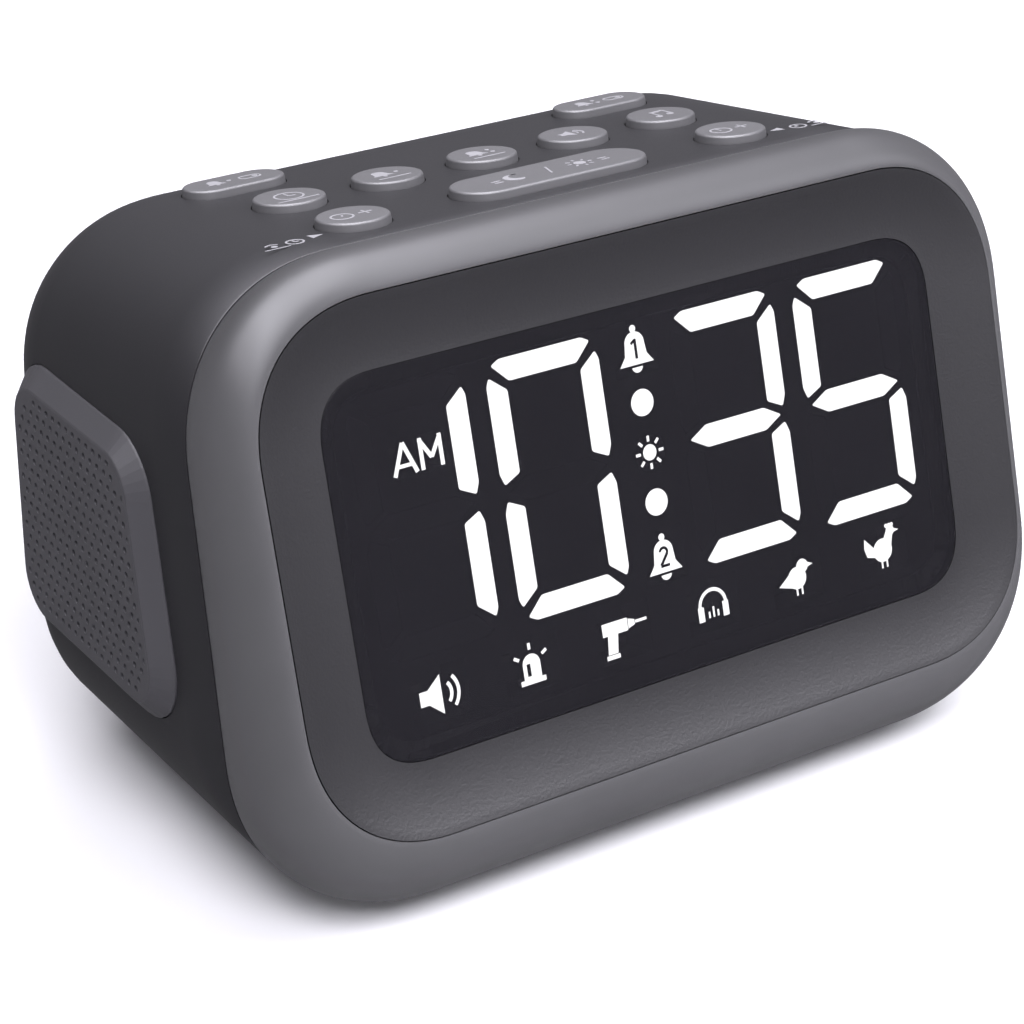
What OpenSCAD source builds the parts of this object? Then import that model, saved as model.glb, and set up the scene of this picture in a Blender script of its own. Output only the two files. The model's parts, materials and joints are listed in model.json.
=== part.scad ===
// Bedside alarm clock: a rounded housing that tapers to the rear, a wide convex bezel ring round a
// leaning display, ten push buttons on the sloping top and a loudspeaker behind a grille on the left.
// Millimetres. X is to the clock's right as seen from the front, Y to the rear, Z up.
// The origin is on the table under the middle of the body.

/* [Body] */
// Width across the front edge of the housing
front_w = 128.8; // [116:0.2:150]
// Height of the front edge, measured along its lean
front_h = 87; // [80:0.5:104]
// Corner radius of the front edge
front_corner = 24.3; // [20:0.1:30]
// Lean of the housing's front edge from the vertical, degrees
front_lean = 9.3; // [6:0.1:12]
// Width of the rear
rear_w = 122.2; // [112:0.2:144]
// Height of the rear
rear_h = 76.6; // [66:0.2:92]
// Corner radius of the rear
rear_corner = 22.5; // [18:0.1:28]
// Rounding between the sides and the rear wall
rear_round = 16.6; // [8:0.2:18]
// Rise of the underside from front to rear
rear_rise = 1.3; // [0:0.1:3]
// Depth from the middle of the front edge to the rear wall
body_depth = 67.2; // [60:0.2:90]
// Wall of the housing and the bezel ring
wall = 2.2; // [1.6:0.1:2.8]

/* [Front] */
// Lean of the display from the vertical, degrees
face_lean = 15.1; // [12:0.1:18]
// How far the middle of the display stands ahead of the housing's front edge
face_ahead = 10.3; // [9:0.1:13]
// How far the middle of the display stands above the middle of the front edge
face_raise = 5.2; // [3:0.1:7]
// Width of the opening in the bezel ring
opening_w = 120; // [110:0.2:126]
// Height of the opening in the bezel ring
opening_h = 71.4; // [66:0.2:76]
// Corner radius of that opening
opening_corner = 19.7; // [16:0.1:24]
// Height of the opening's edge above the window
opening_rise = 2.15; // [1.6:0.05:3]
// Width of the window
window_w = 100; // [90:0.2:104]
// Height of the window
window_h = 51.4; // [46:0.2:54]
// Corner radius of the window
window_corner = 9.7; // [6:0.1:14]
// Thickness of the window
window_t = 1.5; // [1:0.1:2]

/* [Display] */
// Height of a digit
digit_h = 35.3; // [28:0.1:38]
// Width of a digit
digit_w = 18; // [14:0.1:18.4]
// Width of one segment
segment_w = 3.15; // [2:0.05:4]
// Gap between the tips of two segments
segment_gap = 0.9; // [0.4:0.1:1.4]
// Height of the digits' middle above the middle of the window
digit_raise = 5; // [4:0.1:7]
// Height of the row of pictures under the digits
icon_row = -18.3; // [-19:0.1:-17]

/* [Buttons] */
// Distance of the outer buttons from the middle
button_x = 31.3; // [28:0.1:33]
// Distance of the front row behind the housing's front edge, along the top
row_front = 9; // [8:0.1:11]
// Distance of the middle row
row_middle = 25.3; // [23:0.1:27]
// Distance of the rear row
row_rear = 40.4; // [39:0.1:42]
// Radius of a round button and of the snooze bar's ends
button_r = 5.1; // [4:0.1:5.6]
// Radius of the ends of the two alarm switches
alarm_r = 3.9; // [3:0.1:4.4]
// Half the straight length of an alarm switch
alarm_half = 3.8; // [2:0.1:5]
// Half the straight length of the snooze bar
snooze_half = 10.3; // [8:0.1:14]
// How far a cap stands out of the housing
cap_h = 1.2; // [0.9:0.1:2]
// Travel of a button
button_travel = 0.6; // [0.3:0.1:0.9]
// Gap between a button and its hole, all round
button_gap = 0.15; // [0.1:0.05:0.3]

/* [Grille] */
// Distance of the grille's front edge behind the housing's front edge, at the middle
grille_front = 12.4; // [10:0.1:16]
// Distance of the grille's rear edge
grille_rear = 55.5; // [50:0.1:58]
// Top of the grille above the middle of the front edge
grille_top = 18.2; // [16:0.1:22]
// Bottom of the grille
grille_bottom = -22; // [-26:0.1:-20]
// Height of the grille's flat face above the housing's side
grille_h = 2.5; // [1.5:0.1:3.5]
// Width of the sloping margin round that face
grille_margin = 2.9; // [2:0.1:4]
// Distance between neighbouring sound holes
hole_pitch = 2.1; // [1.8:0.05:4]
// Diameter of a sound hole
hole_d = 1; // [0.7:0.05:1.3]

/* [Battery and power] */
// Diameter of a backup cell
cell_d = 10.5; // [10.5, 14.5]
// Length of a backup cell
cell_l = 44.5; // [44.5, 50.5]
// Middle of the battery compartment, to the right of the middle
battery_x = 9; // [6:0.5:12]
// Opening angle of the battery door, degrees
door_angle = 70; // [40:5:90]
// Middle of the power inlet
inlet_x = -28; // [-34:0.5:-24]
// Bore of the power inlet
inlet_bore = 5.5; // [3.5:0.1:5.6]
// Height of the power inlet above the middle of the rear wall
inlet_z = -12; // [-14:0.5:12]

/* [Feet] */
// Diameter of a rubber foot
foot_d = 10; // [8:0.5:12]
// How far a foot stands out at the front
foot_h = 1.2; // [0.8:0.1:3]
// Distance of the feet from the middle
foot_x = 38; // [30:0.5:40]

/* [Hidden] */

// Resolution of round parts and points in a quarter of each body outline
$fn = 48;
corner_n = 16;
// Squareness of the outline corners: 2 is a circular arc
front_soft = 2.23;
rear_soft = 2.2;
opening_soft = 2.31;
window_soft = 2.7;
eps = 0.02;

// Body
seam_z = foot_h + front_h / 2 * cos(front_lean);
nose = face_ahead + opening_h / 2 * sin(face_lean) + opening_rise * cos(face_lean);
seam_y = (nose - body_depth) / 2;
rear_y = seam_y + body_depth;
rear_z = foot_h + rear_rise + rear_h / 2;
top_y = seam_y + front_h / 2 * sin(front_lean);
top_z = seam_z + front_h / 2 * cos(front_lean);
top_slope = atan2(top_z - rear_z - rear_h / 2, rear_y - top_y);
bottom_y = seam_y - front_h / 2 * sin(front_lean);
side_taper = atan2((front_w - rear_w) / 2, body_depth);

// Bezel ring: bulge of its section, the ledge that carries the frame and the spigot in the housing
bulge_inner = 0.45;
bulge_back = 0.57;
bulge_out = 0.31;
ledge_w = 2;
ledge_t = 1.8;
frame_t = 2;
spigot_gap = 0.3;
spigot_t = 1.4;
spigot_l = 2.4;
seam_gap = 0.12;

// Display stack, depths behind the window's front face
window_gap = 0.1;
window_ledge = 2.4;
diffuser_t = 0.8;
diffuser_top = window_t + 0.1;
reflector_t = 6.5;
display_pcb_top = diffuser_top + reflector_t + 0.2;
pcb_t = 1.6;
display_pcb_w = window_w + 1;
display_pcb_h = window_h + 5;
display_post_x = 34;
display_post_y = window_h / 2 + 3.4;
post_r = 2.6;
pilot_r = 0.9;
colon_r = 1.85;
colon_spread = 6.9;
digit_pitch = digit_w + 3.3;
digit_inner = 14.8;
digit_x = [-digit_inner - digit_pitch, -digit_inner, digit_inner + 0.2, digit_inner + 0.2 + digit_pitch];
icon_x = [-38, -23.4, -8.2, 7, 21.9, 37.6];

// Buttons: flange under the housing's top, stem and switch below it
flange_gap = 0.3;
flange_t = 1;
flange_w = 0.8;
switch_side = 6;
switch_h = 3.5;
plunger_h = 1.2;
plunger_r = 1.7;
stem_r = 1.6;
button_pcb_depth = 12;
button_pcb_front = 5.6;
button_pcb_rear = 47;
button_pcb_w = 80;
cap_edge = 0.45;
buttons = [
    ["snooze_button", 0, row_front, button_r, snooze_half],
    ["hour_button", -button_x, row_front, button_r, 0],
    ["minute_button", button_x, row_front, button_r, 0],
    ["time_set_button", -button_x, row_middle, button_r, 0],
    ["alarm_1_set_button", -button_x / 2, row_middle, button_r, 0],
    ["alarm_2_set_button", 0, row_middle, button_r, 0],
    ["volume_button", button_x / 2, row_middle, button_r, 0],
    ["sound_button", button_x, row_middle, button_r, 0],
    ["alarm_1_button", -button_x, row_rear, alarm_r, alarm_half],
    ["alarm_2_button", button_x, row_rear, alarm_r, alarm_half]
];
button_posts = [[-38, 17.2], [38, 17.2], [-20, 38], [20, 38]];

// Grille and loudspeaker, in the plane of the left side
grille_lean = 11;
grille_corner = 9;
grille_pocket = 1;
grille_skin = 1.2;
grille_gap = 0.12;
peg_r = 0.8;
peg_inset = 1.1;
speaker_u = (grille_front + grille_rear) / 2 + 1;
speaker_v = (grille_top + grille_bottom) / 2;
speaker_d = 36;
speaker_seat = 5.5;
seat_wall = 3;
seat_root = 1.7;
cone_r = 12.2;
coil_r = 4.9;
speaker_screw_r = speaker_d / 2 + 3.2;
speaker_screw_angles = [90, 210, 330];
ear_r = 2.6;
gasket_t = 1;
basket_t = 1.2;
basket_h = 9;
magnet_d = 22;
magnet_h = 6;

// Battery compartment, door and power inlet on the rear wall
cells = 3;
cell_gap = 0.5;
box_wall = 1.5;
contact_room = 3.5;
box_w = cell_l + contact_room;
box_h = cells * (cell_d + cell_gap) + cell_gap;
box_d = cell_d + 2;
door_rim = 2.2;
door_w = box_w + 2 * door_rim;
door_h = box_h + 2 * door_rim;
door_t = 1.5;
door_gap = 0.25;
door_pin_r = 0.45;
door_pin_l = 1.2;
inlet_w = 9;
inlet_d = 13;
pin_d = 2.1;

// Main board over the floor
board_w = 74;
board_d = 34;
board_y = 4;
board_z = foot_h + rear_rise + wall + 4;
post_foot = foot_h + rear_rise + 0.8;
board_post_x = board_w / 2 - 4;
board_post_y = board_d / 2 - 4;

// Feet and case screws
foot_front_y = bottom_y + 14;
foot_rear_y = rear_y - rear_round - 4;
foot_sunk = 0.8;
function floor_z(y) = foot_h + rear_rise * (y - bottom_y) / (rear_y - bottom_y);
function foot_seat(y) = floor_z(y) + foot_sunk;
case_screw_x = foot_x - 14;
case_screw_y = bottom_y + 9;
case_head_z = foot_h + 2;
case_pad = 3.4;
tab_w = 9;
tab_h = 5;

// ---------- outlines and skins ----------

// One quarter corner with squareness e
function quarter(r, e) = [for (i = [0 : corner_n]) let (t = 90 * i / corner_n)
    [r * pow(max(0, cos(t)), 2 / e), r * pow(max(0, sin(t)), 2 / e)]];

// Rounded rectangle, anticlockwise from the middle of the right side
function outline(w, h, r, e) = let (q = quarter(r, e), x = w / 2 - r, y = h / 2 - r, n = corner_n)
    concat([for (i = [0 : n]) [x + q[i].x, y + q[i].y]],
           [for (i = [n : -1 : 0]) [-x - q[i].x, y + q[i].y]],
           [for (i = [0 : n]) [-x - q[i].x, -y - q[i].y]],
           [for (i = [n : -1 : 0]) [x + q[i].x, -y - q[i].y]]);

// Outline drawn in by a distance
function drawn_in(w, h, r, e, d) = outline(w - 2 * d, h - 2 * d, max(0.5, r - d), e);

// Corner centres, start directions and turns of a convex quadrilateral
function unit(v) = v / norm(v);
function out(d) = [d.y, -d.x];
function corner_of(p, i, r) = let (n = len(p), a = p[(i + n - 1) % n], b = p[(i + 1) % n],
    d1 = unit(p[i] - a), d2 = unit(b - p[i]), n1 = out(d1), n2 = out(d2))
    [p[i] - (n1 + n2) * r / (1 + n1 * n2), n1, acos(n1 * n2)];
function turned(v, t) = [v.x * cos(t) - v.y * sin(t), v.x * sin(t) + v.y * cos(t)];
// Rounded quadrilateral with corner radius r, drawn in by d
function round_quad(p, r, d) = [for (i = [0 : len(p) - 1]) let (c = corner_of(p, i, r))
    for (k = [0 : 8]) c[0] + (r - d) * turned(c[1], c[2] * k / 8)];
// Whether a point lies inside the rounded quadrilateral drawn in by d
function edge_room(p, i, q) = let (n = len(p), a = p[i], b = p[(i + 1) % n]) (a - q) * out(unit(b - a));
function in_corner(p, i, r, d, q) = let (c = corner_of(p, i, r), v = q - c[0],
    n2 = turned(c[1], c[2]), past = v * turned(c[1], 90) > 0 && v * turned(n2, 90) < 0)
    !past || norm(v) <= r - d;
function inside(p, r, d, q) = min([for (i = [0 : len(p) - 1])
    edge_room(p, i, q) >= d && in_corner(p, i, r, d, q) ? 1 : 0]) == 1;

// Solid through a stack of rings, closed at both ends
module skin(rings) {
    n = len(rings[0]);
    m = len(rings);
    polyhedron(points = [for (r = rings) each r], faces = concat(
        [[for (i = [0 : n - 1]) i]],
        [[for (i = [n - 1 : -1 : 0]) (m - 1) * n + i]],
        [for (k = [0 : m - 2], i = [0 : n - 1]) let (j = (i + 1) % n)
            each [[k * n + i, (k + 1) * n + i, (k + 1) * n + j], [k * n + i, (k + 1) * n + j, k * n + j]]]));
}

// Ring-shaped solid through rings that close on themselves
module loop_skin(rings) {
    n = len(rings[0]);
    m = len(rings);
    polyhedron(points = [for (r = rings) each r], faces =
        [for (k = [0 : m - 1], i = [0 : n - 1]) let (j = (i + 1) % n, l = (k + 1) % m)
            each [[k * n + i, l * n + i, l * n + j], [k * n + i, l * n + j, k * n + j]]]);
}

// ---------- places ----------

// The display's plane: x right, y up the face, z out of it
module on_face() {
    translate([0, seam_y - face_ahead, seam_z + face_raise]) rotate([90 - face_lean, 0, 0]) children();
}
function from_face(p) = [p.x,
    seam_y - face_ahead + p.y * sin(face_lean) - p.z * cos(face_lean),
    seam_z + face_raise + p.y * cos(face_lean) + p.z * sin(face_lean)];
function to_face(p) = let (y = p.y - seam_y + face_ahead, z = p.z - seam_z - face_raise)
    [p.x, y * sin(face_lean) + z * cos(face_lean), z * sin(face_lean) - y * cos(face_lean)];

// The top: s is the distance behind the front edge, z is out of the top
module on_top(x, s) {
    translate([x, top_y + s * cos(top_slope), top_z - s * sin(top_slope)])
        rotate([-top_slope, 0, 0]) children();
}

// The left side: x points forward, y up, z out of the side
module on_side() {
    translate([-front_w / 2, seam_y, seam_z]) rotate([90, 0, -90 - side_taper]) children();
}

// The loudspeaker's rim, z out of the side, and its three screws
module on_speaker() {
    on_side() translate([-speaker_u, speaker_v, -speaker_seat - gasket_t]) children();
}
module at_speaker_screws() {
    for (a = speaker_screw_angles) rotate(a) translate([speaker_screw_r, 0, 0]) children();
}

// The rear wall: x to the clock's left, y up, z out of the rear
module on_rear(x, z) {
    translate([x, rear_y, rear_z + z]) rotate([90, 0, 180]) children();
}

// ---------- housing ----------

function seam_ring(d, back) = [for (p = drawn_in(front_w, front_h, front_corner, front_soft, d))
    [p.x, seam_y + p.y * sin(front_lean) + back, seam_z + p.y * cos(front_lean)]];
function rear_ring(d) = [for (p = drawn_in(rear_w, rear_h, rear_corner, rear_soft, d))
    [p.x, rear_y, rear_z + p.y]];
// Ring at k from the front edge (0) to the rear (1)
function body_ring(d, k) = let (a = seam_ring(d, 0), b = rear_ring(d))
    [for (i = [0 : len(a) - 1]) a[i] + (b[i] - a[i]) * k];
// Ring a distance ahead of the rear face, shrunk about the rear's middle by s
function tail_ring(d, ahead, s) = let (a = seam_ring(d, 0), b = rear_ring(d),
    sx = 1 - 2 * s / (rear_w - 2 * d), sz = 1 - 2 * s / (rear_h - 2 * d))
    [for (i = [0 : len(a) - 1]) let (p = b[i] + (a[i] - b[i]) * ahead / (rear_y - a[i].y))
        [p.x * sx, p.y, rear_z + (p.z - rear_z) * sz]];
function body_rings(d) = let (r = rear_round - d)
    concat([for (k = [0, 0.25, 0.5]) body_ring(d, k)],
           [for (t = [0 : 15 : 90]) tail_ring(d, rear_round - r * sin(t), r * (1 - cos(t)))]);
function reversed(a) = [for (i = [len(a) - 1 : -1 : 0]) a[i]];

module button_hole(b) {
    on_top(b[1], b[2]) translate([0, 0, -wall - 3]) linear_extrude(wall + 6) slot_2d(b[3] + button_gap, b[4]);
}

// Round-ended slot: two circles joined by a rectangle
module slot_2d(r, half) {
    if (half > 0) {
        for (s = [-1, 1]) translate([s * half, 0]) circle(r);
        square([2 * half, 2 * r], center = true);
    } else circle(r);
}

grille_quad = [
    [-(grille_front + (grille_top - 1.2) * tan(grille_lean)), grille_top],
    [-grille_rear, grille_top],
    [-grille_rear, grille_bottom],
    [-(grille_front + (grille_bottom - 1.2) * tan(grille_lean)), grille_bottom]
];
grille_pegs = [for (i = [0 : 3]) let (c = corner_of(grille_quad, i, grille_corner))
    c[0] + (grille_corner - peg_inset) * turned(c[1], c[2] / 2)];

module housing() {
    color("#3e3d42") difference() {
        union() {
            skin(concat(reversed(body_rings(0)), body_rings(wall)));
            // Seat and sleeve of the loudspeaker
            on_speaker() translate([0, 0, gasket_t]) difference() {
                cylinder(r = speaker_d / 2 + seat_wall, h = speaker_seat - seat_root);
                translate([0, 0, -eps]) cylinder(r = speaker_d / 2 - 2.5, h = speaker_seat);
            }
            on_speaker() at_speaker_screws() cylinder(r = ear_r - 0.2,
                h = speaker_seat + gasket_t - seat_root);
            // Posts under the top for the button board
            for (p = button_posts) on_top(p.x, p.y) translate([0, 0, -button_pcb_depth])
                cylinder(r = post_r, h = button_pcb_depth - wall / 2);
            // Posts on the floor for the main board
            for (x = [-1, 1], y = [-1, 1])
                translate([x * board_post_x, board_y + y * board_post_y, post_foot])
                    cylinder(r = post_r, h = board_z - post_foot);
            // Pads that back the feet
            for (x = [-1, 1], y = [foot_front_y, foot_rear_y]) translate([x * foot_x, y, foot_seat(y)])
                cylinder(d = foot_d + 3, h = wall);
            // Pads of the case screws
            for (x = [-1, 1]) translate([x * case_screw_x, case_screw_y, foot_h + wall / 2])
                cylinder(r = 4, h = case_pad - wall / 2);
        }
        for (b = buttons) button_hole(b);
        // Pocket of the grille and the opening behind it
        on_side() translate([0, 0, -grille_pocket]) linear_extrude(6)
            polygon(round_quad(grille_quad, grille_corner, -grille_gap));
        on_speaker() cylinder(r = speaker_d / 2 - 2.5, h = 12);
        on_side() for (p = grille_pegs) translate([p.x, p.y, -wall - 4]) cylinder(r = peg_r + 0.15, h = 10);
        on_speaker() at_speaker_screws() translate([0, 0, -1]) cylinder(r = pilot_r, h = 4.5);
        for (p = button_posts) on_top(p.x, p.y) translate([0, 0, -button_pcb_depth - 1])
            cylinder(r = pilot_r, h = 7);
        for (x = [-1, 1], y = [-1, 1]) translate([x * board_post_x, board_y + y * board_post_y, board_z - 4])
            cylinder(r = pilot_r, h = 5);
        // Battery opening with the door's recess and the holes of its hinge pins
        on_rear(battery_x, 0) {
            translate([0, 0, -wall - 1]) linear_extrude(wall + 2) square([box_w, box_h], center = true);
            translate([0, 0, -door_t - door_gap]) linear_extrude(3)
                square([door_w + 2 * door_gap, door_h + 2 * door_gap], center = true);
            translate([0, -door_h / 2 + door_t / 2, -door_t / 2]) rotate([0, 90, 0])
                cylinder(r = door_pin_r + 0.07, h = door_w + 2 * door_pin_l + 0.4, center = true);
        }
        // Power inlet
        on_rear(inlet_x, inlet_z) translate([0, 0, -wall - 1]) cylinder(d = inlet_w - 1, h = wall + 2);
        // Foot pockets
        for (x = [-1, 1], y = [foot_front_y, foot_rear_y]) translate([x * foot_x, y, -1])
            cylinder(d = foot_d + 0.3, h = 1 + foot_seat(y));
        // Case screws: clearance hole and head pocket
        for (x = [-1, 1]) translate([x * case_screw_x, case_screw_y, -1]) {
            cylinder(r = 1.7, h = 12);
            cylinder(r = 3.2, h = 1 + case_head_z);
        }
    }
}

// ---------- front ----------

// Share of the way from the opening's edge to the housing's edge, across and back, at t from 0 to 1
function across(t) = 3 * t * pow(1 - t, 2) * bulge_inner + 3 * t * t * (1 - t) * (1 + bulge_out) + pow(t, 3);
function back(t) = 3 * t * t * (1 - t) * (1 - bulge_back) + pow(t, 3);
function opening_ring(d, z) = [for (p = drawn_in(opening_w, opening_h, opening_corner, opening_soft, d))
    from_face([p.x, p.y, z])];
// Ring between a ring of the opening and a ring of the front edge
function bulged(a, b, t) = [for (i = [0 : len(a) - 1]) let (p = to_face(a[i]), v = to_face(b[i]) - p)
    from_face([p.x + v.x * across(t), p.y + v.y * across(t), p.z + v.z * back(t)])];

module front_bezel() {
    rim = opening_ring(0, opening_rise);
    edge = seam_ring(0, -seam_gap);
    under = opening_ring(0, opening_rise - frame_t - ledge_t);
    spigot_in = wall + spigot_gap;
    root = seam_ring(spigot_in + spigot_t, -seam_gap);
    reach = spigot_l / body_depth;
    color("#67666b") difference() {
        union() {
            loop_skin(reversed(concat(
                [for (t = [0 : 0.1 : 1]) bulged(rim, edge, t)],
                [seam_ring(spigot_in, -seam_gap), body_ring(spigot_in, reach),
                 body_ring(spigot_in + spigot_t, reach)],
                [for (t = [1, 0.75, 0.5, 0.25, 0]) bulged(under, root, t)],
                [opening_ring(ledge_w, opening_rise - frame_t - ledge_t),
                 opening_ring(ledge_w, opening_rise - frame_t), opening_ring(0, opening_rise - frame_t)])));
            // Tabs over the housing's floor that take the case screws
            for (x = [-1, 1]) translate([x * case_screw_x - tab_w / 2, bottom_y + 1.5, foot_h + case_pad])
                cube([tab_w, 12, tab_h]);
        }
        for (x = [-1, 1]) translate([x * case_screw_x, case_screw_y, foot_h + 2]) cylinder(r = 1.25, h = 7.5);
    }
}

function window_ring(d, z) = [for (p = drawn_in(window_w, window_h, window_corner, window_soft, d))
    from_face([p.x, p.y, z])];

module front_frame() {
    edge = opening_ring(seam_gap, opening_rise);
    sill = window_ring(-window_gap, 0);
    underside = -window_t - 1.2;
    color("#37363b") difference() {
        union() {
            loop_skin(concat(
                [for (s = [1 : -0.2 : 0]) [for (i = [0 : len(edge) - 1])
                    let (p = to_face(sill[i]) + (to_face(edge[i]) - to_face(sill[i])) * s)
                    from_face([p.x, p.y, opening_rise * pow(s, 1.7)])]],
                [window_ring(-window_gap, -window_t), window_ring(window_ledge, -window_t),
                 window_ring(window_ledge, underside), opening_ring(ledge_w + 0.3, underside),
                 opening_ring(ledge_w + 0.3, opening_rise - frame_t),
                 opening_ring(seam_gap, opening_rise - frame_t)]));
            on_face() for (x = [-1, 1], y = [-1, 1]) translate([x * display_post_x, y * display_post_y,
                -display_pcb_top]) cylinder(r = post_r, h = display_pcb_top + underside + 0.3);
        }
        on_face() for (x = [-1, 1], y = [-1, 1]) translate([x * display_post_x, y * display_post_y,
            -display_pcb_top - 1]) cylinder(r = 0.9, h = 6);
    }
}

module display_window() {
    color([0.1, 0.1, 0.11, 0.7]) on_face() translate([0, 0, -window_t]) linear_extrude(window_t)
        polygon(outline(window_w, window_h, window_corner, window_soft));
}

// ---------- display ----------

// The seven segments of a digit about its middle, in the order top, upper right, lower right,
// bottom, lower left, upper left, middle
bar_ease = 0.35;
hw = digit_w / 2;
hh = digit_h / 2;
tip = segment_gap + 0.2;
function flipped(p, x, y) = [for (q = p) [q.x * x, q.y * y]];
top_bar = [[-hw + tip, hh - 0.7], [-hw + 2.2 * tip, hh], [hw - 2.2 * tip, hh], [hw - tip, hh - 0.7],
    [hw - segment_w - segment_gap / 2, hh - segment_w], [-hw + segment_w + segment_gap / 2, hh - segment_w]];
side_bar = [[hw - segment_w, hh - segment_w - tip], [hw - 0.5, hh - 2 * tip], [hw, hh - 3 * tip],
    [hw, 2.4 * tip], [hw - 0.6, tip], [hw - segment_w, 2.1 * tip]];
middle_bar = [[-hw + tip, 0], [-hw + segment_w + 0.8, segment_w / 2], [hw - segment_w - 0.8, segment_w / 2],
    [hw - tip, 0], [hw - segment_w - 0.8, -segment_w / 2], [-hw + segment_w + 0.8, -segment_w / 2]];
bars = [top_bar, side_bar, flipped(side_bar, 1, -1), flipped(top_bar, 1, -1),
    flipped(side_bar, -1, -1), flipped(side_bar, -1, 1), middle_bar];
// Segments that are lit for 0 to 9, in the same order
patterns = ["1111110", "0110000", "1101101", "1111001", "0110011", "1011011", "1011111", "1110000",
    "1111111", "1111011"];
// Time shown
time_shown = [1, 0, 3, 5];
function is_lit(digit, k) = patterns[time_shown[digit]][k] == "1";

// Outline with its corners eased over a distance r
function eased(p, r) = let (n = len(p)) [for (i = [0 : n - 1])
    let (b = p[i], u = unit(p[(i + n - 1) % n] - b), v = unit(p[(i + 1) % n] - b))
    for (t = [0 : 0.25 : 1]) b + u * r * pow(1 - t, 2) + v * r * t * t];

module segments(lit, grow) {
    for (digit = [0 : 3], k = [0 : 6]) if (lit == 2 || is_lit(digit, k) == (lit == 1))
        translate([digit_x[digit], digit_raise]) grown_bar(bars[k], grow);
}

// A bar with eased corners, or with every corner moved out from its middle
function bar_middle(p) = [for (a = [0, 1]) (min([for (q = p) q[a]]) + max([for (q = p) q[a]])) / 2];
module grown_bar(p, grow) {
    m = bar_middle(p);
    polygon(grow > 0 ? [for (q = p) q + [sign(q.x - m.x), sign(q.y - m.y)] * grow] : eased(p, bar_ease));
}

// Flat stroke between two points
module stroke(a, b, w) {
    translate(a) rotate(atan2(b.y - a.y, b.x - a.x)) translate([0, -w / 2]) square([norm(b - a), w]);
}

// Stretch of a ring about the origin, from angle a to b
module arc_2d(r, w, a, b) {
    intersection() {
        difference() {
            circle(r + w / 2);
            circle(r - w / 2);
        }
        polygon([[0, 0], 3 * r * [cos(a), sin(a)], 3 * r * [cos((a + b) / 2), sin((a + b) / 2)],
            3 * r * [cos(b), sin(b)]]);
    }
}

module speaker_icon() {
    polygon([[-3, -1], [-1.7, -1], [0.4, -2.7], [0.4, 2.7], [-1.7, 1], [-3, 1]]);
    arc_2d(1.9, 0.5, -42, 42);
    arc_2d(3, 0.5, -42, 42);
}

module beacon_icon() {
    translate([-2, -2.6]) square([4, 0.7]);
    difference() {
        union() {
            translate([-1.4, -1.9]) square([2.8, 2]);
            translate([0, 0.1]) circle(1.4);
        }
        translate([-0.8, -1.5]) square([0.6, 1.7]);
    }
    for (a = [30, 90, 150]) rotate(a) translate([2.1, -0.2]) square([0.9, 0.45]);
}

module drill_icon() {
    translate([-3.4, 0.4]) square([4.2, 1.8]);
    polygon([[-2.6, 0.5], [-0.9, 0.5], [-1.3, -2.2], [-2.9, -2.2]]);
    translate([-3.2, -2.9]) square([2.2, 0.6]);
    polygon([[0.9, 0.6], [2, 0.95], [2, 1.65], [0.9, 2]]);
    translate([2.1, 1.1]) square([1.9, 0.4]);
}

module headphones_icon() {
    translate([0, 0.1]) arc_2d(2.2, 0.5, 0, 180);
    for (s = [-1, 1]) translate([s * 2.1 - 0.5, -1.9]) square([1, 2.1]);
    for (k = [-1, 0, 1]) translate([k * 0.75 - 0.15, -1.6]) square([0.3, 1.5 - abs(k) * 0.6]);
}

module bird_icon() {
    circle(1.6);
    translate([1.1, 1.5]) circle(1);
    polygon([[1.9, 1.9], [3, 1.4], [1.9, 1.1]]);
    polygon([[-1.3, 0.8], [-3.3, -0.6], [-0.9, -1.3]]);
    for (x = [-0.4, 0.5]) translate([x, -2.5]) square([0.3, 1.1]);
}

module cockerel_icon() {
    circle(1.7);
    polygon([[-1.5, 0.6], [-3.1, 2.3], [-3.3, 0.9], [-2.9, -0.4], [-1.4, -0.8]]);
    polygon([[0.2, 1.3], [1.2, 3], [2.2, 2.4], [1.6, 0.2]]);
    translate([1.7, 2.5]) circle(0.75);
    polygon([[2.3, 2.7], [3.3, 2.3], [2.3, 2.1]]);
    for (k = [0 : 2]) translate([1.1 + 0.5 * k, 3.3]) circle(0.3);
    for (x = [-0.5, 0.4]) translate([x, -2.6]) square([0.3, 1.2]);
}

module sun_icon() {
    circle(1.1);
    for (a = [0 : 45 : 315]) rotate(a) translate([1.5, -0.2]) square([0.8, 0.4]);
}

// Bell with its number left open
module bell_icon(number) {
    translate([0, 3]) circle(0.5);
    difference() {
        union() {
            translate([0, 1]) circle(1.6);
            polygon([[-1.6, 1], [1.6, 1], [1.8, -0.6], [2.8, -1.9], [-2.8, -1.9], [-1.8, -0.6]]);
        }
        if (number == 1) {
            stroke([0.1, -1.1], [0.1, 1.6], 0.45);
            stroke([-0.6, 1], [0.1, 1.45], 0.4);
        } else {
            stroke([-0.7, -1], [0.8, -1], 0.4);
            stroke([-0.65, -0.9], [0.6, 0.7], 0.45);
            translate([0, 0.9]) arc_2d(0.6, 0.4, -20, 170);
        }
    }
    translate([0, -2.1]) intersection() {
        translate([0, 0]) circle(0.9);
        translate([-1, -1]) square([2, 0.85]);
    }
}

// Letters of the morning mark
module morning_mark() {
    stroke([-3.7, -2.1], [-2, 2.1], 0.6);
    stroke([-2, 2.1], [-0.3, -2.1], 0.6);
    stroke([-3, -0.9], [-1, -0.9], 0.5);
    stroke([0.6, -2.1], [0.6, 2.1], 0.6);
    stroke([3.6, -2.1], [3.6, 2.1], 0.6);
    stroke([0.5, 1.9], [2.1, -0.7], 0.6);
    stroke([2.1, -0.7], [3.7, 1.9], 0.6);
}

marks = [[0.2, 19], [0.1, -9.8], [-35.6, 13.2], [0.2, 5], [0.15, digit_raise + colon_spread],
    [0.15, digit_raise - colon_spread]];

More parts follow.
